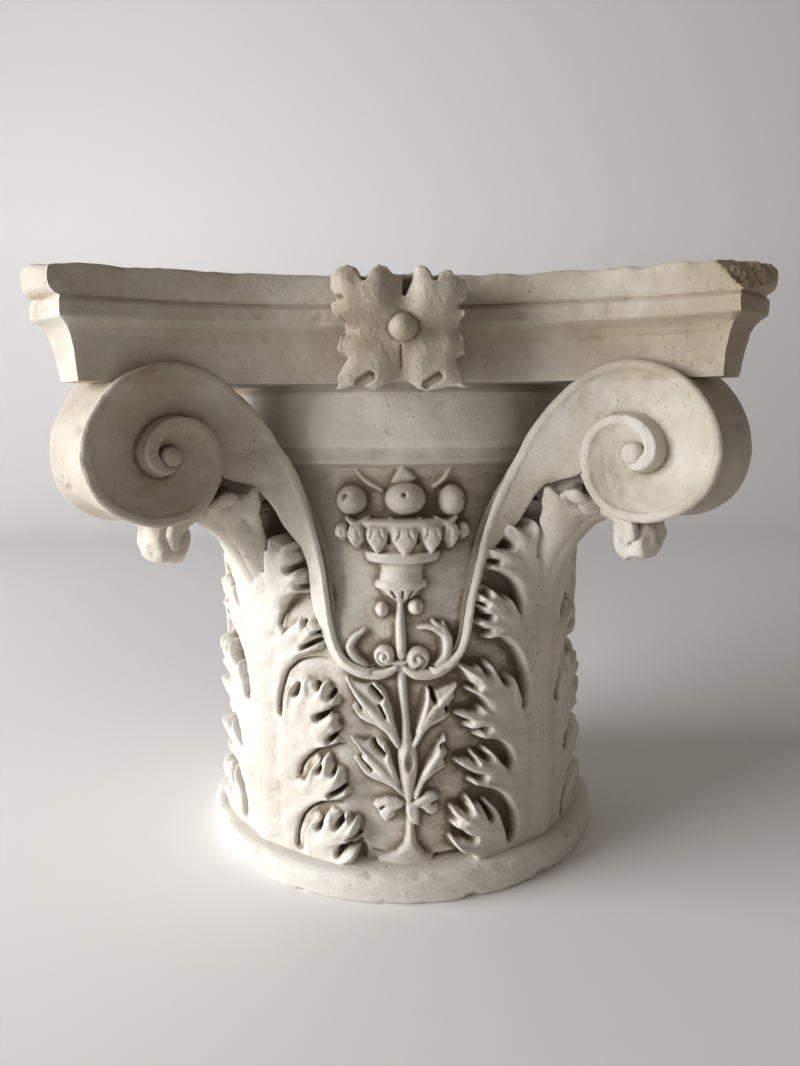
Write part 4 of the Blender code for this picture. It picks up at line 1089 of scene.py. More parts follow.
# Small leaves beside the stalk: outline, ribs as (u, z, half width, top), holes as (u, z, half width)
stalkLeaves = [{  # upper left
    "outline": (
        (-1.6, 84), (-6, 91), (-10.8, 95.4), (-17, 98), (-21.5, 98.8), (-24.8, 101.5), (-28, 105.2),
        (-29.6, 109.2), (-27.4, 111.6), (-25.6, 109.2), (-24.4, 107), (-25.6, 111.6), (-28.8, 114.4),
        (-31.4, 119), (-33.2, 125.6), (-27, 122.9), (-21.5, 121.7), (-16, 122.2), (-10.8, 118.6), (-9, 113.8),
        (-6.7, 109), (-5.6, 103), (-5.6, 97), (-2, 90),
    ),
    "ribs": (
        ((-3.4, 86, 1.6, 114), (-10, 98, 2.6, 115.5), (-18, 107, 2.4, 116.8), (-26, 115.6, 1.8, 117),
         (-32.4, 124.4, 0.7, 115)),
        ((-8, 94, 1.6, 114), (-17, 101, 2, 115.6), (-24, 103.6, 1.6, 115.6), (-29, 108.6, 0.8, 114.4)),
        ((-4.6, 92, 1.6, 114), (-8.4, 104, 2, 115.6), (-11.4, 112, 1.6, 116), (-12.4, 118, 1, 115)),
    ),
    "holes": (((-18.4, 120.2, 1), (-16, 117.4, 1.5), (-12.6, 114, 1.3)),
              ((-14.2, 110, 0.4), (-10.6, 103, 0.5))),
}, {  # upper right
    "outline": (
        (3.4, 84), (7.6, 91), (10, 97), (11, 105.4), (12.1, 111.5), (14, 119.4), (16.6, 117.2), (20.8, 117.9),
        (24.6, 119.4), (32.4, 121), (29.6, 117), (30.4, 112.8), (27.4, 109.6), (27.4, 103), (22.3, 99.8),
        (17, 97.5), (13, 95.2), (10.4, 92.1), (8.7, 86),
    ),
    "ribs": (
        ((6, 86, 1.6, 114), (12.4, 98, 2.4, 115.6), (18.6, 108, 2.4, 116.8), (25.4, 115, 1.8, 117),
         (31.4, 120.2, 0.7, 115)),
        ((9, 93, 1.4, 114), (16.4, 99.4, 1.8, 115.4), (22.4, 102, 1.4, 115.4), (26.8, 103.6, 0.8, 114.4)),
        ((8.6, 94, 1.4, 114), (12.4, 105, 1.8, 115.6), (14.2, 112, 1.4, 115.8), (14.4, 118, 0.8, 115)),
    ),
    "holes": (((25.4, 107.4, 0.9), (25.8, 105.2, 1.1)),
              ((16.8, 117.8, 0.8), (17.4, 114, 1.2), (18.4, 111.4, 0.8))),
}, {  # lower left
    "outline": (
        (1.4, 54), (-6, 60.8), (-12.3, 63.8), (-18.5, 65.8), (-23, 68.5), (-25.6, 72.3), (-29.2, 79.2),
        (-25.4, 78.6), (-24.6, 80.4), (-28.6, 86.4), (-30.8, 91), (-23, 88.2), (-18, 88.4), (-13.6, 88.6),
        (-10.4, 87.4), (-6.8, 78.5), (-4.4, 70.8), (-2, 61.5),
    ),
    "ribs": (
        ((-0.6, 57.6, 1.4, 113), (-8, 66, 2.4, 115), (-16, 75, 2.4, 116.4), (-23.4, 83, 1.8, 116.6),
         (-30, 90, 0.7, 114.6)),
        ((-7, 63.4, 1.6, 114), (-15.4, 68.4, 1.9, 115.4), (-22.2, 71.4, 1.5, 115.4), (-28, 78, 0.7, 114.2)),
        ((-3.6, 64, 1.6, 113.6), (-7.4, 74, 1.9, 115.4), (-10.4, 82, 1.5, 115.8), (-11.4, 87, 0.8, 114.8)),
    ),
    "holes": (
        ((-17.8, 87.6, 1.2), (-15.4, 84.6, 1.7), (-11.4, 81.2, 1.4)),
        ((-26.2, 78.6, 0.4), (-22.6, 75, 0.6), (-18.8, 71.4, 0.4)), ((-28.4, 86.6, 0.3), (-23, 80.4, 0.5)),
    ),
}, {  # lower right
    "outline": (
        (5, 54), (8.6, 64), (13.2, 74.6), (16.6, 80), (19.4, 84.8), (24.8, 91.2), (25.4, 87), (23.8, 84.4),
        (25.6, 81.7), (23.4, 78), (24.8, 73), (20, 70.8), (15.4, 68.3), (12.3, 63.6), (10, 58), (8, 54),
    ),
    "ribs": (
        ((6.6, 57, 1.4, 113), (11.6, 67, 2.2, 115), (17, 76, 2.2, 116.4), (21.4, 83, 1.6, 116.4),
         (24.4, 90, 0.7, 114.6)),
        ((10, 63, 1.4, 113.6), (16, 70.4, 1.8, 115.2), (20.6, 72.4, 1.3, 115.2), (24.2, 73.4, 0.8, 114.2)),
        ((14, 71, 1.4, 114.2), (20, 77.6, 1.6, 115.4), (25, 81.2, 0.9, 114.4)),
    ),
    "holes": (((23.6, 86.8, 0.7), (22, 84.6, 0.7)),),
}, {  # bud on the left
    "outline": ((0.6, 52.5), (-4, 54.8), (-10, 55.6), (-17, 53.2), (-18.4, 50.4), (-15.6, 48.3), (-14, 43.8),
                (-10.8, 40.4), (-6, 43.6), (-5, 47.5), (-1, 49.5)),
    "ribs": (((-1, 51.4, 1.2, 112.6), (-8, 52.6, 1.8, 114.6), (-16, 51.4, 1.2, 113.6)),
             ((-2, 50.6, 1.2, 112.6), (-8, 48.4, 1.9, 114.6), (-10.8, 42.6, 1.3, 113.6))),
    "holes": (((-11.5, 50.4, 0.3), (-13.6, 48.8, 0.7)),),
}, {  # bud on the right
    "outline": ((3.4, 51.5), (6, 53.4), (13, 58.3), (18.5, 58), (21, 54.6), (19.4, 51.4), (21.3, 47.7),
                (17, 44.2), (13, 45.6), (11, 49), (7, 49.5)),
    "ribs": (((5.6, 52, 1.2, 112.6), (12, 54.6, 2, 114.8), (18.4, 55.4, 1.5, 114)),
             ((7, 50.8, 1.2, 112.6), (13, 49.8, 1.9, 114.6), (18.6, 47, 1.4, 113.8))),
    "holes": (((19.4, 51.6, 0.9), (17, 51.6, 0.7)),),
}, {  # the drop between the buds
    "outline": ((0.6, 52), (1, 46), (3, 41.5), (8.5, 37.4), (9.4, 44), (8.4, 50), (6, 53)),
    "ribs": (((3, 51, 1.2, 113), (3.6, 46, 1.5, 114.2), (6, 40.6, 0.8, 113)),
             ((6.2, 50.4, 1.1, 113), (6.8, 45.6, 1.3, 114.2), (8, 39, 0.6, 113))),
    "holes": (),
}]


def carveStalkLeaves(sheet, holeFloor):
    for leaf in stalkLeaves:
        raiseOutline(sheet, leaf["outline"], 114.2, crown=1.8, rounding=2.4)
        for rows in leaf["ribs"]:
            raiseStroke(sheet, rows, crown=1.2, edge=1.2, soft=1.4)
        for rows in leaf["holes"]:
            sinkStroke(sheet, [(u, z, half, holeFloor) for u, z, half in rows], edge=0.8)


def carveFace(sizes):
    step = sizes["step"] * fine
    sheet = newSheet((-sizes["halfWidth"], sizes["low"]), (sizes["halfWidth"], sizes["high"]), step,
                     lambda u, z: np.interp(z, *zip(*groundCurve)) + smoothStep((176 - z) / 26) * (
                         sizes["leftGround"][0] * smoothStep((-18 - u) / 20)
                         + sizes["leftGround"][1] * smoothStep((-44 - u) / 18)))
    for stem in (rightStem, leftStem):
        raiseStroke(sheet, stem, crown=1.2, edge=1.4, soft=0.8)
    carveVase(sheet, vaseSizes)
    carveStalk(sheet, stalkSizes)
    carveStalkLeaves(sheet, sizes["leafHoleFloor"])
    lean = carveBlade(sheet, sizes)
    raiseClaws(sheet, sizes)
    cutClaws(sheet, rightClaws, sizes["rightGap"], sizes["holeFloor"])
    cutClaws(sheet, leftClaws, sizes["leftGap"], sizes["holeFloor"])
    for rows in neckCrevices:
        sinkStroke(sheet, [(u, z, half, sizes["rightGap"]["floor"]) for u, z, half in rows], edge=1.5)
    raised = smoothStep((sheet["top"] - 108) / 6)
    sheet["top"] = sheet["top"] + lean * raised
    return sheet


def faceMesh(sizes):
    sheet = carveFace(sizes)
    sheet["top"] = (1 - sizes["softness"]) * sheet["top"] + sizes["softness"] * boxBlur(sheet["top"], 1)
    beyond = np.abs(sheet["u"]) - cornerAt  # past the corner, where the next face takes over
    sheet["top"] += sheetRipples(sheet, *sizes["ripples"]) * smoothStep(-beyond / 5)
    sheet["top"] -= sizes["cornerFall"] * np.maximum(beyond, 0)
    return sheetMesh(sheet, onBell, lambda co: Vector((co.x * 0.8, co.y * 0.8, co.z)), sizes["triangles"])


def profileLine(rows, step, rounding):
    # rows of numbers, first two a profile's outline, walked at an even step with its corners rounded
    rows = np.array(rows, float)
    gaps = np.hypot(np.diff(rows[:, 0]), np.diff(rows[:, 1]))
    run = np.concatenate([[0], np.cumsum(np.maximum(gaps, 1e-6))])
    even = np.linspace(0, run[-1], max(int(run[-1] / step), 8))
    line = np.stack([np.interp(even, run, column) for column in rows.T], axis=1)
    cells = max(int(round(rounding / step)), 1)
    return np.stack([boxBlur(column[:, None], cells)[:, 0] for column in line.T], axis=1)


def shadeMasks(mesh, rounds=(6, 30)):
    # hollows and proud edges of any mesh, from how far it stands off a smoothed copy
    points = getPoints(mesh)
    ends = np.empty(len(mesh.edges) * 2, int)
    mesh.edges.foreach_get("vertices", ends)
    ends = ends.reshape(-1, 2)
    normals = np.empty(len(mesh.vertices) * 3)
    mesh.vertices.foreach_get("normal", normals)
    normals = normals.reshape(-1, 3)
    count = np.bincount(ends.ravel(), minlength=len(points))[:, None]
    smooth, done, stands = points.copy(), 0, []
    for goal in rounds:
        while done < goal:
            total = np.zeros_like(smooth)
            for axis in range(3):
                total[:, axis] = np.bincount(ends[:, 0], smooth[ends[:, 1], axis], len(points))
                total[:, axis] += np.bincount(ends[:, 1], smooth[ends[:, 0], axis], len(points))
            smooth = 0.4 * smooth + 0.6 * total / np.maximum(count, 1)
            done += 1
        stands.append(((smooth - points) * normals).sum(axis=1))
    return stands


def dirtShadeAndWear(mesh, hollowAt=1.2, edgeAt=0.5):
    # hollows get dirt and painted shade, proud edges wear and a painted highlight
    near, far = shadeMasks(mesh)
    setMask(mesh, "hollow", limit(near / hollowAt) * 0.4 + limit(far / (2.2 * hollowAt)) * 0.6)
    setMask(mesh, "edge", -near / edgeAt)
    return mesh


# The bell: ring below, lip above.
bellSizes = {
    "profile": (
        (0, 0), (127.6, 0), (129, 1.2), (129.6, 3.4), (129.6, 10.8), (128.9, 13.6), (127.2, 15.8),
        (124.4, 16.8), (119.5, 17), (100, 17.4), (96, 22), (96, 235), (106.5, 240.4), (109.5, 242.6),
        (112.6, 243.6), (113.6, 244.6), (113.4, 245.8), (112.2, 247.6), (111.6, 251.6), (112, 252.4),
        (113.2, 252.7), (113.6, 253.8), (113.6, 281.6), (112.8, 283), (111.6, 283.8), (111.6, 288), (0, 288),
    ),
    "around": 640,
    "ripples": ((0.35, 22, 11), (0.12, 5, 12)),  # share, size, seed
    "arrises": (16, 0), "arrisWear": 0.5,  # the heights of the ring's edges, and how much they have lost
    "ringRadius": 129.6, "outermost": 129.5,
    "triangles": 52000,
}
# chips in the ring: how far round it (u), height, length, depth
ringChips = (
    (39, 1.5, 5, 2.6), (-62, 0.8, 3.5, 1.6), (8, 16.2, 4, 1.4), (-96, 15, 6, 1.8), (88, 2, 4, 2),
    (-20, 15.8, 3, 1.2), (60, 15.6, 5, 1.3), (170, 1.5, 7, 3), (-150, 14, 7, 2.4), (120, 15, 5, 1.6),
)


def bellMesh(sizes):
    line = profileLine(sizes["profile"], 0.7 * fine, 0.35)
    line[0, 0] = line[-1, 0] = 0

    def place(a, b):
        angle = 2 * math.pi * a
        row = alongLine(line, b)
        radius, z = row[..., 0], row[..., 1]
        points = np.stack([radius * np.sin(angle), -radius * np.cos(angle), z], axis=1)
        worn = ripples(points, *sizes["ripples"])
        arris = sum(np.exp(-((z - at) / 2.2)**2) for at in sizes["arrises"])
        worn -= sizes["arrisWear"] * arris * limit(waviness(points, 11, 13) - 0.1)
        ring = sizes["ringRadius"]
        for u, up, long, deep in ringChips:
            around = np.angle(np.exp(1j * (angle - u / ring))) * ring
            worn -= deep * np.exp(-((around / long)**2 + ((z - up) / (0.55 * long))**2)**1.5)
        worn = np.where(radius > 90, worn, 0)
        radius = np.minimum(radius + worn - 0.3, sizes["outermost"])
        return np.stack([radius * np.sin(angle), -radius * np.cos(angle), z], axis=1)

    return thinned(closedShell(int(sizes["around"] / fine), len(line) - 1, place), sizes["triangles"])


abacusSizes = {
    "hollow": 50.0,
    # rows of (z, half length of a side, distance of its ends from the centre line)
    "levels": (
        (286, 150.5, 163.6), (290.7, 150.5, 164.2), (299, 150.6, 165.5), (307, 151, 167.8),
        (311, 151.4, 170.4), (313.2, 151.8, 173.2), (313.8, 152, 174.1), (314.4, 152.4, 175.8),
        (322, 152.4, 175.8), (322.7, 152.4, 175.4), (323.5, 152.4, 173.4), (324.3, 153.4, 173.6),
        (325, 155.6, 175), (327, 157.2, 176.2), (332, 157.7, 176.8), (336.5, 157.7, 176.8), (339, 156.9, 176),
        (340, 155.4, 174.5),
    ),
    "sidePoints": 260, "cornerPoints": 26,
    "capRows": 40,
    # arrises that are worn: height, how far the wear spreads, how sharply it ends, share
    "arrises": ((339.5, 1.6, 2, 1), (326, 1.2, 2, 0.6), (318, 5, 4, 0.7)), "arrisWear": 0.9,
    "lowest": 284, "highest": 339.9,
    "triangles": 112000,
}
# Chips along the arrises of the abacus: place x, y, z, radius, depth
abacusChips = (
    (-157, -172, 338, 9, 2.6), (-150, -170, 331, 4, 1.6), (-158, -176, 326, 4, 1.4),
    (-128, -158, 339, 6, 1.2), (96, -141, 339, 9, 1.6), (118, -150, 339, 7, 2), (64, -132, 339, 8, 1.4),
    (140, -163, 339, 6, 2.2), (40, -129, 339, 5, 1), (110, -147, 322, 4, 0.8), (-84, -137, 339, 7, 1),
    (174, -150, 337, 6, 2.2), (176, -140, 330, 5, 1.4), (160, 171, 338, 10, 2.4), (-168, 160, 337, 9, 2.2),
    (-140, 60, 339, 8, 1.4), (150, 80, 339, 8, 1.5), (30, 130, 339, 9, 1.6), (-90, 141, 339, 7, 1.2),
    (-172, -120, 338, 7, 1.6),
)
breakPoints = ((142.2, -166.6, 340), (152.4, -175.8, 322.5), (172.8, -157.7, 337))


def breakPlane():
    # a point of the plane the corner broke off along, and its direction outwards
    a, b, c = (np.array(point) for point in breakPoints)
    normal = np.cross(b - a, c - a)
    normal /= np.linalg.norm(normal)
    return a, normal * np.sign(normal @ np.array([1, -1, 1]))


def abacusOutline(share, along, out, hollow):
    # one point of each level: four hollow sides joined by the cut corners
    side = np.minimum((share * 4).astype(int), 3)
    part = share * 4 - side
    cut = abacusSizes["cornerPoints"] / (abacusSizes["cornerPoints"] + abacusSizes["sidePoints"])
    radius = (along**2 + hollow**2) / (2 * hollow)
    x = along * (2 * limit(part / (1 - cut)) - 1)
    y = -(radius - np.sqrt(radius**2 - x**2) + out - hollow)
    t = limit((part - (1 - cut)) / cut)  # along the cut corner, to the start of the next side
    x, y = x + (out - along) * t, y + (out - along) * t
    c, s = np.cos(side * quarterTurn), np.sin(side * quarterTurn)
    return x * c - y * s, x * s + y * c


def abacusMesh(sizes):
    line = profileLine(sizes["levels"], 0.5 * fine, 0.5)
    rows = len(line) + 2 * sizes["capRows"]

    def place(a, b):
        level = b * (rows - 1) - sizes["capRows"]
        row = alongLine(line, np.clip(level, 0, len(line) - 1) / (len(line) - 1))
        z, along, out = row[..., 0], row[..., 1], row[..., 2]
        x, y = abacusOutline(np.mod(a, 1), along, out, sizes["hollow"])
        cap = np.maximum(-level, level - (len(line) - 1)) / sizes["capRows"]
        keep = 1 - limit(cap)**1.3
        points = np.stack([x * keep, y * keep, z], axis=1)
        outward = np.stack([x, y, np.zeros_like(x)], axis=1)
        outward /= np.linalg.norm(outward, axis=1)[:, None]
        wear = 0.30 + 0.28 * waviness(points, 30, 21) + 0.10 * waviness(points, 6, 22)
        arris = sum(share * np.exp(-((z - at) / spread)**power)
                    for at, spread, power, share in sizes["arrises"])
        wear += sizes["arrisWear"] * arris * limit(waviness(points, 8, 23) - 0.25)
        points -= outward * (np.maximum(wear, 0) * (cap < 0.02))[:, None]
        down = 0.3 + 0.25 * (waviness(points, 40, 24) + 1)
        down += 0.5 * limit(waviness(points, 14, 25) - 0.6) * limit(1 - 8 * cap)
        points[:, 2] -= np.where(z > 338.5, down, 0)
        for cx, cy, cz, reach, deep in abacusChips:
            off = np.linalg.norm(points - np.array([cx, cy, cz]), axis=1) / reach
            bite = deep * np.exp(-off**2.5)
            points -= outward * bite[:, None] * 0.8
            points[:, 2] -= bite * (z > 330) * 0.6
        # the corner that has broken off: what lies beyond the break is drawn back to it
        start, normal = breakPlane()
        rough = ripples(points, (0.9, 9, 26), (0.4, 2.6, 27)) + 0.8
        over = np.maximum((points - start) @ normal + rough * 0.8, 0)
        points -= normal * over[:, None]
        points[:, 2] = np.clip(points[:, 2], sizes["lowest"], sizes["highest"])
        return points

    def masks(a, b):
        points = place(a, b)
        start, normal = breakPlane()
        atCorner = (points[:, 0] > 120) * (points[:, 1] < -120)
        return {"break": limit((points - start) @ normal + 2.2) * atCorner}

    across = int(4 * (sizes["sidePoints"] + sizes["cornerPoints"]) / fine)
    return thinned(closedShell(across, rows - 1, place, masks), sizes["triangles"])


hornSizes = {
    "eye": (184, 250), "outer": 227.5, "halfWidth": 15.0, "splay": math.radians(9.4), "bend": 0.0007,
    # how far the rim stands from the eye, at each angle as the coil winds in
    "radii": (
        (203, 78), (190, 69), (180, 64), (175, 60.9), (170, 58), (165, 55.8), (160, 54), (150, 50.8),
        (140, 48.8), (124, 48), (97, 46.3), (72, 44.8), (57, 44), (38, 43.2), (0, 43.2), (-25, 42),
        (-36, 40.4), (-51, 37.8), (-68, 36), (-83, 34.5), (-100, 33.4), (-121, 31.9), (-136, 30.2),
        (-158, 27.9), (-180, 27), (-198, 26.2), (-215, 25), (-232, 23.1), (-253, 20.6), (-276, 18.4),
        (-305, 15.8), (-332, 14.6), (-360, 13.8), (-383, 12.8), (-407, 11.5), (-432, 9.8), (-467, 7),
        (-500, 5.4), (-516, 5), (-560, 4.9),
    ),
    "rib": ((200, 5), (90, 5.2), (0, 5.2), (-90, 5.2), (-180, 5.4), (-270, 6.2), (-330, 7.2), (-400, 8.2),
            (-470, 7.5), (-560, 5)),
    "tail": ((-30, -11.6), (-44, -15.6), (-60, -19.6), (-78, -19)),
    "core": 27.0, "coreShare": 0.46,  # of round rings about the eye, and the share of the rows they take
    "rise": 3.0, "ball": 5.2,
    "around": 340, "across": 104, "band": 18,
    "triangles": 33000,
}
# pits in the band and the faces of a scroll: angle, share of the way across the band, radius, depth
hornPits = (
    (128, 0.06, 3, 1.6), (101, 0.5, 2.4, 1.3), (60, 0.25, 2.2, 1.2), (20, 0.75, 3.2, 1.6), (-20, 0.3, 2, 1.4),
    (150, 0.2, 2.4, 1.4), (140, 0.95, 1.8, 1.4), (-48, 0.6, 2.6, 1.5),
)


def hornFacePoint(sizes, s, h, rise):
    # on the front side of the diagonal: s out from the eye, h above it, raised off the face by rise
    p = sizes["eye"][0] + s * math.cos(sizes["splay"])
    q = sizes["halfWidth"] + (sizes["outer"] - p) * math.tan(sizes["splay"])
    q = q - sizes["bend"] * np.maximum(sizes["eye"][0] - p, 0)**2
    return onDiagonal(p, -q - rise, sizes["eye"][1] + h)


def coilRadius(sizes, angle):
    angles, radii = np.array(sizes["radii"])[::-1].T
    return sum(np.interp(angle + turn, angles, radii) for turn in (-9, -5, -2, 2, 5, 9)) / 6


def coilRise(sizes, angle, reach):
    # the carved face of the scroll: angle in degrees above -157 less a turn, reach from the eye
    ribAngles, ribWidths = np.array(sizes["rib"])[::-1].T
    first = np.where(angle > -157, angle, angle + 360)
    rise = np.full(reach.shape, -3.0)
    for turn in (0, 1, 2):
        wound = first - 360 * turn
        rim = coilRadius(sizes, wound)
        inner = coilRadius(sizes, wound - 360)
        rib = np.interp(wound, ribAngles, ribWidths)
        rib = np.minimum(rib, np.maximum(rim - inner, 0.5) * np.interp(wound, (-300, -100), (0.95, 0.8)))
        depth = rim - reach  # how far in from this turn's rim
        level = sizes["rise"] + np.interp(wound, (-520, -170, -90), (1.0, 0.5, 0.0))
        crown = level - 1.5 * limit(1 - depth / 1.8)**2 - 0.6 * limit((depth - rib + 1.6) / 1.6)**2
        t = limit((depth - rib) / np.maximum(rim - inner - rib, 0.6))
        deep = np.interp(wound, (-540, -400, -170, 0), (3.4, 5.0, 6.8, 7.4))
        channel = level - 0.8 - deep * t**0.9
        here = np.where(depth < rib, crown, channel)
        wall = smoothStep(depth / 1.7 + 0.4) if turn else 1.0
        rise = np.where(depth > -0.7, rise * (1 - wall) + here * wall, rise)
    # past the coil's start the stem's ribbon takes over, so the horn stays a little below it
    beyond = smoothStep((first - 166) / 9) * smoothStep((reach - coilRadius(sizes, first - 360)) / 1.2)
    rise = rise - 1.8 * beyond
    ball = sizes["ball"]
    return np.where(reach < ball, np.maximum(rise, 1.4 + 3.2 * np.sqrt(limit(1 - (reach / ball)**2))), rise)


def hornOutline(sizes):
    # the outline as reach from the eye at every angle from -180 to 180
    angles = np.linspace(-150, 180, 331)
    reach = coilRadius(sizes, angles)
    tail = sorted((math.degrees(math.atan2(h, s)), math.hypot(s, h)) for s, h in sizes["tail"])
    return np.array([(-180, coilRadius(sizes, 180.0)), *tail, *zip(angles, reach)])


def hornMesh(sizes, seed):
    outline = hornOutline(sizes)
    faceRows, bandRows = int(sizes["across"] / fine), int(sizes["band"] / fine)
    rows = 2 * faceRows + bandRows

    def place(a, b):
        angle = 360 * a - 180
        edge = np.interp(angle, outline[:, 0], outline[:, 1])
        row = b * rows
        near = limit(row / faceRows)
        far = limit((rows - row) / faceRows)
        band = limit((row - faceRows) / bandRows)
        onFace = np.minimum(near, far)
        # the same rings round the eye at every angle, then the rest of the way out to the edge
        core, share = sizes["core"], sizes["coreShare"]
        reach = np.where(onFace < share, core * (onFace / share)**0.9,
                         core + (edge - core) * limit((onFace - share) / (1 - share))**0.92)
        rise = coilRise(sizes, angle, reach)
        inBand = (row > faceRows) & (row < faceRows + bandRows)
        rad = np.radians(angle)
        flat = np.stack([reach * np.cos(rad), reach * np.sin(rad), 3 * rise], axis=1)
        rise = rise + 0.20 * waviness(flat, 9, seed) + 0.08 * waviness(flat, 2.4, seed + 1)
        hollow = np.where(inBand, 1.8 * np.sin(math.pi * band)**0.7, 0)
        for at, across, size, deep in hornPits:
            off = ((angle - at) * edge * math.pi / 180 / size)**2 + ((band - across) * 32 / size)**2
            hollow = hollow + deep * np.exp(-off) * (onFace > 0.97)
        reach = reach - hollow
        s, h = reach * np.cos(rad), reach * np.sin(rad)
        front = hornFacePoint(sizes, s, h, rise)
        other = np.stack([-front[:, 1], -front[:, 0], front[:, 2]], axis=1)
        side = np.where(inBand, band, np.where(row <= faceRows, 0.0, 1.0))[:, None]
        return front * (1 - side) + other * side

    return thinned(closedShell(int(sizes["around"] / fine), rows, place), sizes["triangles"])


# The ribbons that run from the scrolls down into the stems.
ribbonSizes = {
    # where along the scroll it starts, still buried: angles of its rim and of its lower edge
    "turns": ((143, 143), (151, 151), (158, 158.6), (165, 167), (170, 174), (175, 183)),
    # then its rim and its lower edge, each as (u, z, distance from the axis), or as (out, up) beside the coil
    "right": (
        ((59.9, 249.8, 127.4), (-26.3, -8)), ((57, 243.1, 125.9), (-34.5, -13.6)),
        ((54.5, 236.4, 124.6), (71.2, 233.6, 140)), ((51.4, 228.6, 123), (67.8, 226.8, 133.6)),
        ((48.7, 220.2, 121.6), (66.2, 218.4, 128.4)), ((46.4, 211.7, 120.7), (63.6, 208.6, 122.2)),
        ((44.4, 203.8, 119.8), (58, 200.8, 117.6)), ((42, 191.2, 118.8), (49.2, 190, 115.8)),
        ((39.6, 180.2, 118), (46, 179.3, 115.4)), ((37.5, 170.1, 117.4), (43.5, 169.3, 115)),
        ((36.1, 160.4, 117.1), (41.7, 159.6, 114.8)), ((34.9, 152, 117), (40.3, 150.2, 114.6)),
        ((33.2, 145.2, 116.8), (38.2, 142.4, 114.6)), ((30.2, 139.4, 116.6), (34.4, 135.4, 114.5)),
        ((25.8, 134.9, 116.3), (28.8, 130, 114.4)), ((20.4, 131.8, 115.9), (22, 126.6, 114.2)),
        ((14.6, 130.4, 114.6), (15.2, 125.4, 112.6)),
    ),
    "left": (
        ((59.4, 250.6, 127.2), (-26.3, -8)), ((56.6, 245, 125.6), (-34.5, -13.6)),
        ((53.8, 237.9, 124.2), (71, 232.6, 140.4)), ((51.5, 230.3, 123), (67.2, 226.6, 135.6)),
        ((49.8, 222.7, 122.2), (65, 219.6, 131)), ((48.2, 215.1, 121.4), (63.6, 211.4, 126.6)),
        ((46.9, 208.2, 120.8), (61.8, 204.4, 121.6)), ((45.6, 201, 120.2), (58.8, 197.6, 117.8)),
        ((44.1, 192.1, 119.4), (56.4, 189.4, 115.8)), ((42.6, 182.1, 118.6), (55.2, 180, 115.4)),
        ((41.6, 172.1, 118), (54.4, 170.6, 115.2)), ((40.8, 164.2, 117.8), (53, 162.8, 115)),
        ((39.8, 156.6, 117.5), (50.2, 155.6, 114.9)), ((38, 148.4, 117.2), (46.4, 145.4, 114.8)),
        ((35.6, 141.8, 116.9), (42.8, 138, 114.7)), ((32, 136.8, 116.7), (37, 131.6, 114.6)),
        ((27.4, 133.6, 116.4), (30.2, 127.4, 114.5)), ((21.4, 131.4, 116), (22.2, 125, 114.2)),
        ((15.4, 130.6, 114.6), (15.2, 124.8, 112.6)),
    ),
    "thickness": (9, 4.5),
    "rib": 5.2,
    "around": 90, "along": 380,
    "triangles": 12000,
}


def ribbonRows(sizes, side):
    # rows along the ribbon: its rim and its lower edge in space, and how strongly its hollow shows
    horn = hornSizes
    rows = []
    for rimTurn, edgeTurn in sizes["turns"]:
        sink = 0.3 + 0.5 * max(0, (165 - rimTurn) / 22) if rimTurn < 170 else 0.15
        rim, edge = math.radians(rimTurn), math.radians(edgeTurn)
        outer, inner = coilRadius(horn, rimTurn) - 0.25, coilRadius(horn, edgeTurn - 360) + 0.3
        rows.append((*hornFacePoint(horn, outer * math.cos(rim), outer * math.sin(rim), horn["rise"] - sink),
                     *hornFacePoint(horn, inner * math.cos(edge), inner * math.sin(edge), -5.2 - sink), 1.0))
    for i, (rim, edge) in enumerate(sizes[side]):
        low = hornFacePoint(horn, *edge, -5.2) if len(edge) == 2 else onBell(*edge)
        rows.append((*onBell(*rim), *low, 1.0 - 0.55 * min(1, i / 9)))
    return bendThrough(np.array(rows), 14)


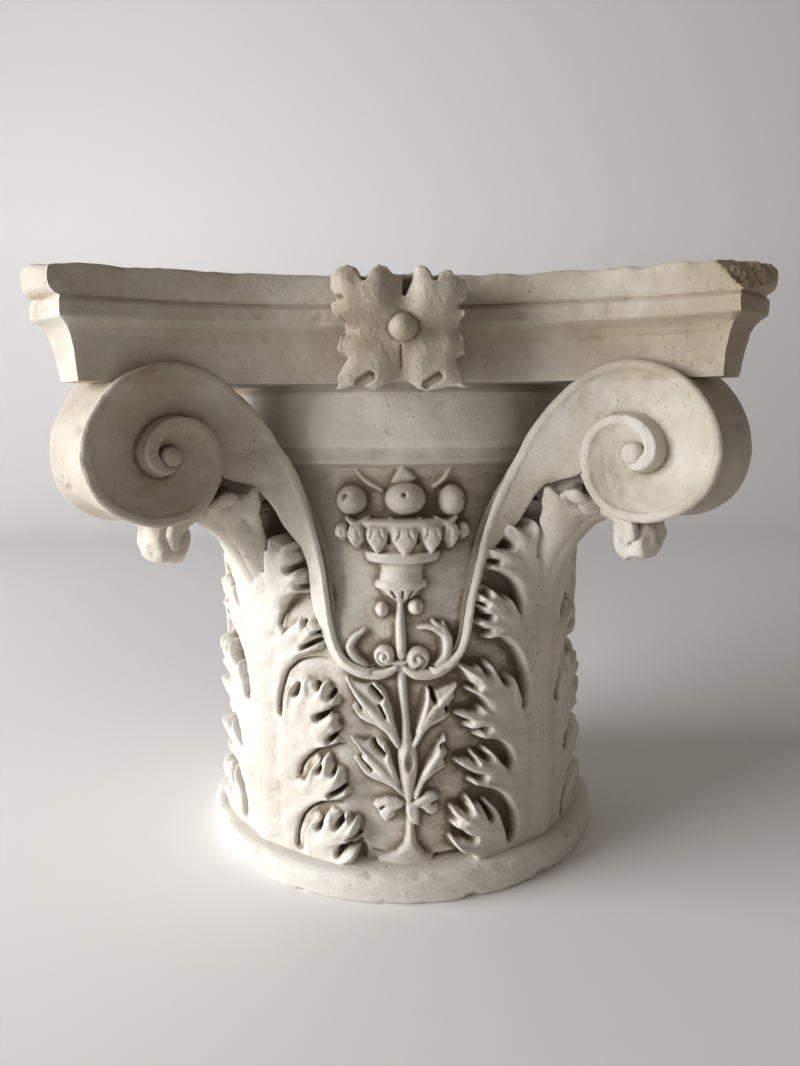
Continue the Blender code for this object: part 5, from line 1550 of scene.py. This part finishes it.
def ribbonMesh(sizes, side, seed):
    line = ribbonRows(sizes, side)

    def place(a, b):
        row = alongLine(line, b)
        rim, edge = row[:, :3], row[:, 3:6]
        run = alongLine(line, limit(b + 0.008)) - alongLine(line, limit(b - 0.008))
        run = run[:, :3] + run[:, 3:6]
        normal = np.cross(run, edge - rim)
        normal /= np.maximum(np.linalg.norm(normal, axis=1), 1e-9)[:, None]
        wide = np.linalg.norm(edge - rim, axis=1)
        t = np.where(a < 0.5, 2 * a, 2 - 2 * a)**1.15
        fromRim = t * wide
        # the same section as the scroll's face: a rib at the rim, then a channel that falls to the lower edge
        rib = np.minimum(sizes["rib"] * (0.35 + 0.65 * row[:, 6]), 0.55 * wide)
        fall = np.interp(row[:, 6], (0.4, 1.0), (0.35, 1.0))
        crown = -1.5 * limit(1 - fromRim / 1.8)**2 - 0.6 * limit((fromRim - rib + 1.6) / 1.6)**2
        inner = limit((fromRim - rib) / np.maximum(wide - rib, 0.6))
        channel = -0.8 * fall - 7.4 * fall * inner**0.9
        section = np.where(fromRim < rib, crown * (0.6 + 0.4 * fall), channel) + 8.2 * fall * t
        free = np.interp(row[:, 6], (0.9, 0.99), (1, 0))
        section = section + 0.9 * (1 - fall) * np.exp(-((fromRim - 1.7) / 1.3)**2)
        section = section - 1.0 * free * np.exp(-((wide - fromRim) / 1.1)**2)
        ends = smoothStep((1 - b) / 0.03)**0.5 * smoothStep(b / 0.012)
        thick = np.interp(b, (0.3, 0.7), sizes["thickness"])
        depth = np.where(a < 0.5, section, -thick) - 2.0 * (1 - ends)
        flat = np.stack([fromRim, b * 230, depth], axis=1)
        depth = depth + ripples(flat, (0.18, 9, seed), (0.08, 2.5, seed + 1)) * (a < 0.5)
        shut = (b <= 0) | (b >= 1)
        depth = np.where(shut, -4, depth)
        across = np.where(shut[:, None], 0.5 * (rim + edge), rim + (edge - rim) * t[:, None])
        return across + normal * depth[:, None]

    mesh = closedShell(int(sizes["around"] / fine), int(sizes["along"] / fine), place)
    if side == "left":
        mesh.transform(Matrix.Scale(-1, 4, Vector((1, 0, 0))))
        mesh.flip_normals()
    return thinned(mesh, sizes["triangles"])


# The tips of the corner leaves, curled over under the scrolls.
tipSizes = {
    # rows of (p, z, half width, how far the edges turn inwards); p runs out along the diagonal
    "spine": (
        (106, 130, 8, 5), (109.2, 148, 8.5, 6), (112.4, 163, 9, 6.5), (117.4, 177, 10, 6.5),
        (124.4, 190, 11.5, 7), (132.6, 202.5, 14.5, 9), (141, 211.5, 20.5, 12), (149, 217.5, 27, 17),
        (156, 220.5, 25.5, 11), (162, 221, 17.5, 5.5), (168.5, 218.5, 16, 7), (174.5, 213.5, 15, 6.5),
        (177, 208, 13, 5.5), (175, 204, 10, 5.5), (172, 202, 6, 4),
    ),
    # the flat drawing's half width, its length for each row, and its cells
    "wide": 20.0, "long": 7.0, "step": 0.45,
    "ripples": ((0.2, 9, 61), (0.08, 2.5, 62)),  # share, size, seed
    "deepest": -9,
    "outline": (
        (-20, -1), (-20, 14), (-19, 28), (-20, 38), (-20.6, 47), (-17.6, 50.4), (-17, 53.6), (-19.6, 57),
        (-16.6, 61), (-19, 68), (-20.4, 77), (-19, 84), (-16, 91), (-7, 97), (0, 98.4), (9, 97), (16, 91),
        (19, 84), (20.4, 77), (19, 68), (16.6, 61), (19.6, 57), (17, 53.6), (17.6, 50.4), (20.6, 47),
        (20, 38), (19, 28), (20, 14), (20, -1),
    ),
    # strokes as (across, along, half width, height); ridges and paired holes are on both sides
    "midrib": ((0, 0, 5, 1), (0, 40, 5, 1.6), (0, 62, 4.4, 2), (0, 80, 4, 2.2), (0, 94, 2, 1.2)),
    "ridges": (((8, 10, 4, 0.4), (11, 34, 4.4, 1.2), (15, 44, 3.4, 1.6), (19, 47.6, 1.6, 0.8)),
               ((9, 38, 4, 0.8), (12.4, 50, 3.4, 1.5), (18, 56.6, 1.6, 0.8)),
               ((9, 62, 3, 0.8), (11, 72, 4, 1.6), (11, 84, 3, 1.2), (7, 92, 1.6, 0.6))),
    "pairedHoles": (
        ((13.8, 53.4, 2.1, -9), (13, 51.6, 1.9, -9)), ((13.4, 62.4, 2.2, -9), (12.2, 60.6, 1.9, -9)),
    ),
    "holes": (((-17.4, 66.6, 1.2, -5), (-15.8, 67, 1.1, -5)), ((14.6, 39, 1.2, -6), (14, 43, 1.6, -6)),
              ((16.8, 67, 1.3, -5), (15, 66.6, 1.1, -4)), ((-15.8, 86.6, 1.2, -2.2), (-13.2, 90, 0.9, -2.2)),
              ((10, 91, 0.9, -1.6), (7, 93.6, 0.7, -1.4))),
    "thickness": 5.5,
    "core": ((134, 231), (24, 15.5, 15)),  # the stone left standing between the leaf and the scroll
    # the knob the tip ends in: place and half sizes, then its pits as (turn, tilt, size, depth)
    "knob": ((176.6, 204.8), (11.6, 12.6, 13)),
    "knobPits": ((-100, -8, 0.28, 5), (96, 14, 0.20, 3), (-70, 40, 0.3, 2.5), (20, -60, 0.35, 3),
                 (-60, -62, 0.3, 3.4), (70, -55, 0.3, 3)),
    "knobRipples": ((0.6, 9, 91), (0.25, 3, 92)), "knobTriangles": 3000,
    "triangles": 9000,
}


def knobMesh(sizes):
    (p, z), half = sizes["knob"]

    def place(a, b):
        turn, tilt = 2 * math.pi * a - math.pi, math.pi * (b - 0.5)
        way = np.stack([np.cos(tilt) * np.cos(turn), np.cos(tilt) * np.sin(turn), np.sin(tilt)], axis=1)
        box = (np.abs(way)**3.2).sum(axis=1)**(-1 / 3.2)  # between a ball and a block
        out = box[:, None] * way * np.array(half)
        out += ripples(out, *sizes["knobRipples"])[:, None] * way
        for pitTurn, pitTilt, size, deep in sizes["knobPits"]:
            t, up = math.radians(pitTurn), math.radians(pitTilt)
            at = np.array([math.cos(up) * math.cos(t), math.cos(up) * math.sin(t), math.sin(up)])
            out -= (deep * np.exp(-(((way - at)**2).sum(axis=1)) / size**2))[:, None] * way
        # it narrows and breaks off unevenly below
        down = limit(-out[:, 2] / half[2])
        out[:, :2] *= (1 - 0.32 * down**1.5)[:, None]
        out[:, 2] = np.maximum(out[:, 2], -0.84 * half[2] + 1.3 * waviness(out * [1, 1, 0.2], 5, 93))
        return onDiagonal(p + out[:, 0], out[:, 1], z + out[:, 2])

    return thinned(closedShell(int(90 / fine), int(60 / fine), place), sizes["knobTriangles"])


def bothSides(strokes):
    # each stroke and its mirror image
    return [[(side * u, *rest) for u, *rest in rows] for rows in strokes for side in (-1, 1)]


def tipMesh(sizes):
    count = len(sizes["spine"]) - 1
    wide, rowLength = sizes["wide"], sizes["long"]
    line = bendThrough(sizes["spine"], 12)
    sheet = newSheet((-wide - 2, -1), (wide + 2, count * rowLength + 1), sizes["step"] * fine,
                     lambda a, b: np.full(a.shape, -4.0))
    raiseOutline(sheet, sizes["outline"], 0.4, crown=2.2, rounding=4.0, edge=0.8)
    for rows in (sizes["midrib"], *bothSides(sizes["ridges"])):
        raiseStroke(sheet, rows, crown=1.0, edge=2.6, soft=1.8)
    keep = sheet["top"] > -2.4
    for rows in (*bothSides(sizes["pairedHoles"]), *sizes["holes"]):
        sinkStroke(sheet, rows, edge=1.2)
    sheet["top"] = np.where(keep, sheet["top"], -20)
    sheet["top"] += np.where(keep, sheetRipples(sheet, *sizes["ripples"]), 0)

    def place(a, b, top):
        share = limit(b / (count * rowLength))
        row = alongLine(line, share)
        run = (alongLine(line, limit(share + 0.01)) - alongLine(line, limit(share - 0.01)))[:, :2]
        run /= np.maximum(np.linalg.norm(run, axis=1), 1e-9)[:, None]
        v = a / wide
        across = np.sign(v) * np.abs(v)**0.92 * row[:, 2]
        depth = -row[:, 3] * np.minimum(np.abs(v), 1.1)**2.2
        # the surface leans as its edges turn in, and the relief stands off it that way
        lean = np.arctan2(row[:, 3] * 2.2 * np.abs(v)**1.2, row[:, 2])
        top = np.maximum(top, sizes["deepest"])
        out = depth + top * np.cos(lean)
        across = across + np.sign(v) * top * np.sin(lean)
        return onDiagonal(row[:, 0] + run[:, 1] * out, across, row[:, 1] - run[:, 0] * out)

    masks = sheetMasks({**sheet, "top": np.maximum(sheet["top"], sizes["deepest"])})
    mesh = drapedMesh(sheet, place, masks, sizes["triangles"], (keep.astype(float), 0.9))

    def thicken(bm):
        # a wall, the stone behind it and the knob
        bmesh.ops.recalc_face_normals(bm, faces=bm.faces)
        farthest = max(bm.faces, key=lambda f: f.calc_center_median().length)
        if farthest.normal.dot(farthest.calc_center_median()) < 0:
            bmesh.ops.reverse_faces(bm, faces=bm.faces)
        thickenInward(bm, sizes["thickness"] * mm)
        (p, z), half = sizes["core"]
        spin = Matrix.Rotation(-math.pi / 4, 4, "Z") @ Matrix.Diagonal((*(h * mm for h in half), 1))
        seat = Matrix.Translation(Vector(onDiagonal(p, 0.0, z)) * mm)
        bmesh.ops.create_uvsphere(bm, u_segments=24, v_segments=16, radius=1, matrix=seat @ spin)
        bm.from_mesh(knobMesh(sizes))
        bmesh.ops.recalc_face_normals(bm, faces=bm.faces)

    return worked(mesh, thicken)


flowerSizes = {
    "low": (-37, 278), "high": (37, 340), "step": 0.4,  # the corners and the cells of the flat drawing
    "middle": 311, "back": 126.0, "root": 0.107, "highest": 339.9,
    "bed": ((1, 311), (29, 27), 134, 157.4), "knob": ((1, 311), (7.8, 7.4), 151, 162.4),
    "bulge": (3.2, (16, 12), (330, 8)),  # how high, then its place and reach across and up
    "foldBack": (0.16, 2.6, 3.0),  # the slope below the middle, and the fold there: depth and reach
    "creases": (1.0, 17, 2.4),  # depth, place across, reach
    "soften": 2.2,  # how far round the petals' swellings are evened out
    "buried": (0.310, 0.78),  # the height its buried outline shrinks towards, in metres, and by how much
    "ripples": ((0.25, 10, 71), (0.09, 2.6, 72)),  # share, size, seed
    "triangles": 14000,
}
flowerPetals = (
    {"outline": (
        (-1.2, 312), (-12, 311), (-21, 311), (-28, 313), (-32.5, 317), (-33.5, 321), (-31, 325), (-33.5, 329),
        (-33, 334), (-29.5, 338), (-25, 339.6), (-20.5, 338.2), (-18.6, 335.6), (-16.4, 334.8), (-14.4, 337),
        (-10.5, 339.6), (-6, 338.4), (-2.6, 334.4), (-0.8, 328),
    ), "top": 161.5, "crown": 6.0, "round": 9.0},
    {"outline": (
        (1.2, 312), (14, 311), (25, 312), (30, 315), (31.5, 318), (27.4, 320.2), (31, 323), (31.6, 329),
        (29.6, 333.5), (24.5, 336.4), (20.5, 337.4), (17.5, 335.4), (14.6, 335.6), (12.6, 338.2),
        (8.6, 339.4), (4.6, 337), (1.6, 330),
    ), "top": 160.5, "crown": 6.0, "round": 9.0},
    {"outline": (
        (-1, 312), (-22, 312), (-29, 308), (-31.5, 300.5), (-25.6, 297), (-28, 294), (-31.4, 288), (-31, 284),
        (-34.5, 281.5), (-28, 281.5), (-20, 284), (-13, 280.5), (-8, 283.6), (-0.6, 288),
    ), "top": 157.0, "crown": 5.0, "round": 8.0},
    {"outline": (
        (1, 312), (26, 312), (30.5, 306), (31.5, 298), (26.6, 296), (29.4, 291), (30, 286), (33.4, 282),
        (24, 282.6), (13, 280.4), (8, 281.6), (0.6, 287),
    ), "top": 156.0, "crown": 5.0, "round": 8.0},
)
flowerHoles = (
    ((-17.6, 336, 1.7, 144), (-17.2, 333.4, 1.6, 150)), ((16.2, 335.6, 1.6, 146), (16, 333, 1.5, 151)),
    ((-30.4, 324, 1.2, 150), (-27.5, 324, 0.8, 154)), ((-20, 285.4, 2.2, 146), (-15, 288, 2.6, 148)),
    ((12.5, 284.4, 2.2, 146), (18, 287.6, 2.4, 148)),
    ((3.6, 341, 2.4, 142), (3.4, 334, 2.4, 146), (1.6, 326, 0.8, 150)),
    ((30, 320, 1, 150), (27.6, 320.2, 1, 152)), ((0, 302, 0.5, 153), (0, 290, 0.9, 148)),
    ((26, 335.4, 1.6, 150), (29, 334, 1.6, 148)),
)


def flowerMesh(sizes):
    sheet = newSheet(sizes["low"], sizes["high"], sizes["step"] * fine,
                     lambda x, z: np.full(x.shape, sizes["back"]))
    x, z = sheet["u"], sheet["z"]
    raiseDome(sheet, *sizes["bed"])
    for petal in flowerPetals:
        raiseOutline(sheet, petal["outline"], petal["top"], petal["crown"], petal["round"], edge=0.9)
    # the petals bulge near their outer ends and fold back below
    out, up = np.abs(x), z - sizes["middle"]
    high, (atOut, wide), (atUp, tall) = sizes["bulge"]
    bulge = high * np.exp(-(((out - atOut) / wide)**2 + ((z - atUp) / tall)**2))
    slope, deep, reach = sizes["foldBack"]
    fold = -slope * np.clip(-up, 0, 40) - deep * np.exp(-(up / reach)**2) * smoothStep((33 - out) / 6)
    deep, atOut, reach = sizes["creases"]
    creases = -deep * np.exp(-((out - atOut - 0.1 * up) / reach)**2) * smoothStep((np.abs(up) - 6) / 8)
    raised = sheet["top"] > sizes["back"] + 6
    sheet["top"] = sheet["top"] + np.where(raised, bulge + fold + creases, 0)
    # inside their edges the petals are evened out into soft swellings
    reach = sizes["soften"] / sheet["step"]
    petal = raised.astype(float)
    inner = smoothStep((boxBlur(petal, reach) - 0.6) / 0.3)
    soft = boxBlur(sheet["top"] * petal, reach * 1.4) / np.maximum(boxBlur(petal, reach * 1.4), 0.01)
    sheet["top"] = sheet["top"] + (soft - sheet["top"]) * inner * raised
    for rows in flowerHoles:
        sinkStroke(sheet, rows, edge=1.2)
    raiseDome(sheet, *sizes["knob"])
    sheet["top"] += sheetRipples(sheet, *sizes["ripples"])

    def place(u, up, top):
        return np.stack([u, -top, np.minimum(up, sizes["highest"])], axis=-1)

    def inward(co):
        # towards a smaller outline, buried in the abacus
        middle, share = sizes["buried"]
        return Vector((co.x * share, -sizes["root"], middle + (co.z - middle) * share))

    return sheetMesh(sheet, place, inward, sizes["triangles"], cut=sizes["back"] + 14)


pieces = roundTheFaces("faceCarving", faceMesh(faceSizes))
print("faces carved")
pieces.append(addPiece("bell", dirtShadeAndWear(bellMesh(bellSizes))))
pieces.append(addPiece("abacus", dirtShadeAndWear(abacusMesh(abacusSizes), 0.55, 0.5), sharp=60))
print("bell and abacus cut")
pieces += roundTheFaces("cornerScroll", dirtShadeAndWear(hornMesh(hornSizes, 51), 1.6, 0.6))
pieces += roundTheFaces("stemRight", dirtShadeAndWear(ribbonMesh(ribbonSizes, "right", 81), 1.4, 0.6))
pieces += roundTheFaces("stemLeft", dirtShadeAndWear(ribbonMesh(ribbonSizes, "left", 85), 1.4, 0.6))
pieces += roundTheFaces("leafTip", tipMesh(tipSizes))
pieces += roundTheFaces("flower", flowerMesh(flowerSizes))
print("scrolls, leaf tips and flowers placed")
for piece in pieces:
    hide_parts("capital")


# Floor, light and camera.
studioSizes = {
    "floorFront": -3.0, "floorBack": 2.2, "wallHeight": 3.2, "halfWidth": 3.5, "bend": 0.9,
    "floorColour": (0.94, 0.925, 0.91),
    "cameraDistance": 0.5515, "cameraHeight": 0.2675,
    "cameraTurn": 0.49, "cameraPitch": 7.89, "cameraRoll": -0.48, "lens": 27.69,
    # lamps: place, what they point at, size, power, colour
    "window": ((-2.1, -0.64, 0.50), (0, 0, 0.17), (1.8, 1.5), 94, (0.96, 0.98, 1.02)),
    "fill": ((1.2, -2.2, 1.4), (0, 0, 0.15), (2, 2), 1.1, (1, 0.92, 0.84)),
    "roomColour": (1, 0.90, 0.80), "roomStrength": 0.145,
}


def addStage(sizes):
    bm = bmesh.new()
    bmesh.ops.create_grid(bm, x_segments=1, y_segments=1, size=1)
    for vert in bm.verts:
        y = sizes["floorBack"] if vert.co.y > 0 else sizes["floorFront"]
        vert.co = (vert.co.x * sizes["halfWidth"], y, 0)
    bm.edges.ensure_lookup_table()
    back = [e for e in bm.edges if all(v.co.y > 0 for v in e.verts)]
    drawn = bmesh.ops.extrude_edge_only(bm, edges=back)["geom"]
    raised = [g for g in drawn if isinstance(g, bmesh.types.BMVert)]
    bmesh.ops.translate(bm, verts=raised, vec=(0, 0, sizes["wallHeight"]))
    bend = [e for e in bm.edges if all(v.co.y > 0 and v.co.z < 0.01 for v in e.verts)]
    bmesh.ops.bevel(bm, geom=bend, offset=sizes["bend"], affect="EDGES", segments=16, profile=0.5,
                    material=-1)
    mesh = bpy.data.meshes.new("backdrop")
    bm.to_mesh(mesh)
    bm.free()
    mesh.shade_smooth()
    paper = bpy.data.materials.new("backdropPaper")
    paper.use_nodes = True
    shader = paper.node_tree.nodes["Principled BSDF"]
    shader.inputs["Base Color"].default_value = (*sizes["floorColour"], 1)
    shader.inputs["Roughness"].default_value = 0.9
    mesh.materials.append(paper)
    floor = intoScene("backdrop", mesh)


def addLight(name, place, aim, size, power, colour):
    lamp = bpy.data.lights.new(name, "AREA")
    lamp.shape, lamp.size, lamp.size_y = "RECTANGLE", size[0], size[1]
    lamp.energy, lamp.color = power, colour
    item = intoScene(name, lamp)
    item.location = place
    item.rotation_euler = (Vector(aim) - Vector(place)).to_track_quat("-Z", "Y").to_euler()


def addCamera(sizes):
    turn, pitch = math.radians(sizes["cameraTurn"]), math.radians(sizes["cameraPitch"])
    lens = bpy.data.cameras.new("camera")
    lens.sensor_fit, lens.sensor_height, lens.sensor_width, lens.lens = "VERTICAL", 36, 36, sizes["lens"]
    item = intoScene("camera", lens)
    away = sizes["cameraDistance"]
    item.location = (-away * math.sin(turn), -away * math.cos(turn), sizes["cameraHeight"])
    look = Vector((math.sin(turn) * math.cos(pitch), math.cos(turn) * math.cos(pitch), -math.sin(pitch)))
    roll = Matrix.Rotation(math.radians(sizes["cameraRoll"]), 3, "Z")
    item.rotation_euler = (look.to_track_quat("-Z", "Y").to_matrix() @ roll).to_euler()
    bpy.context.scene.camera = item


addStage(studioSizes)
for name in ("window", "fill"):
    addLight(name, *studioSizes[name])
bpy.context.scene.view_settings.view_transform = "Standard"
world = bpy.data.worlds.new("room")
world.use_nodes = True
air = world.node_tree.nodes["Background"]
air.inputs["Color"].default_value = (*studioSizes["roomColour"], 1)
air.inputs["Strength"].default_value = studioSizes["roomStrength"]
bpy.context.scene.world = world
addCamera(studioSizes)
print("stage lit")
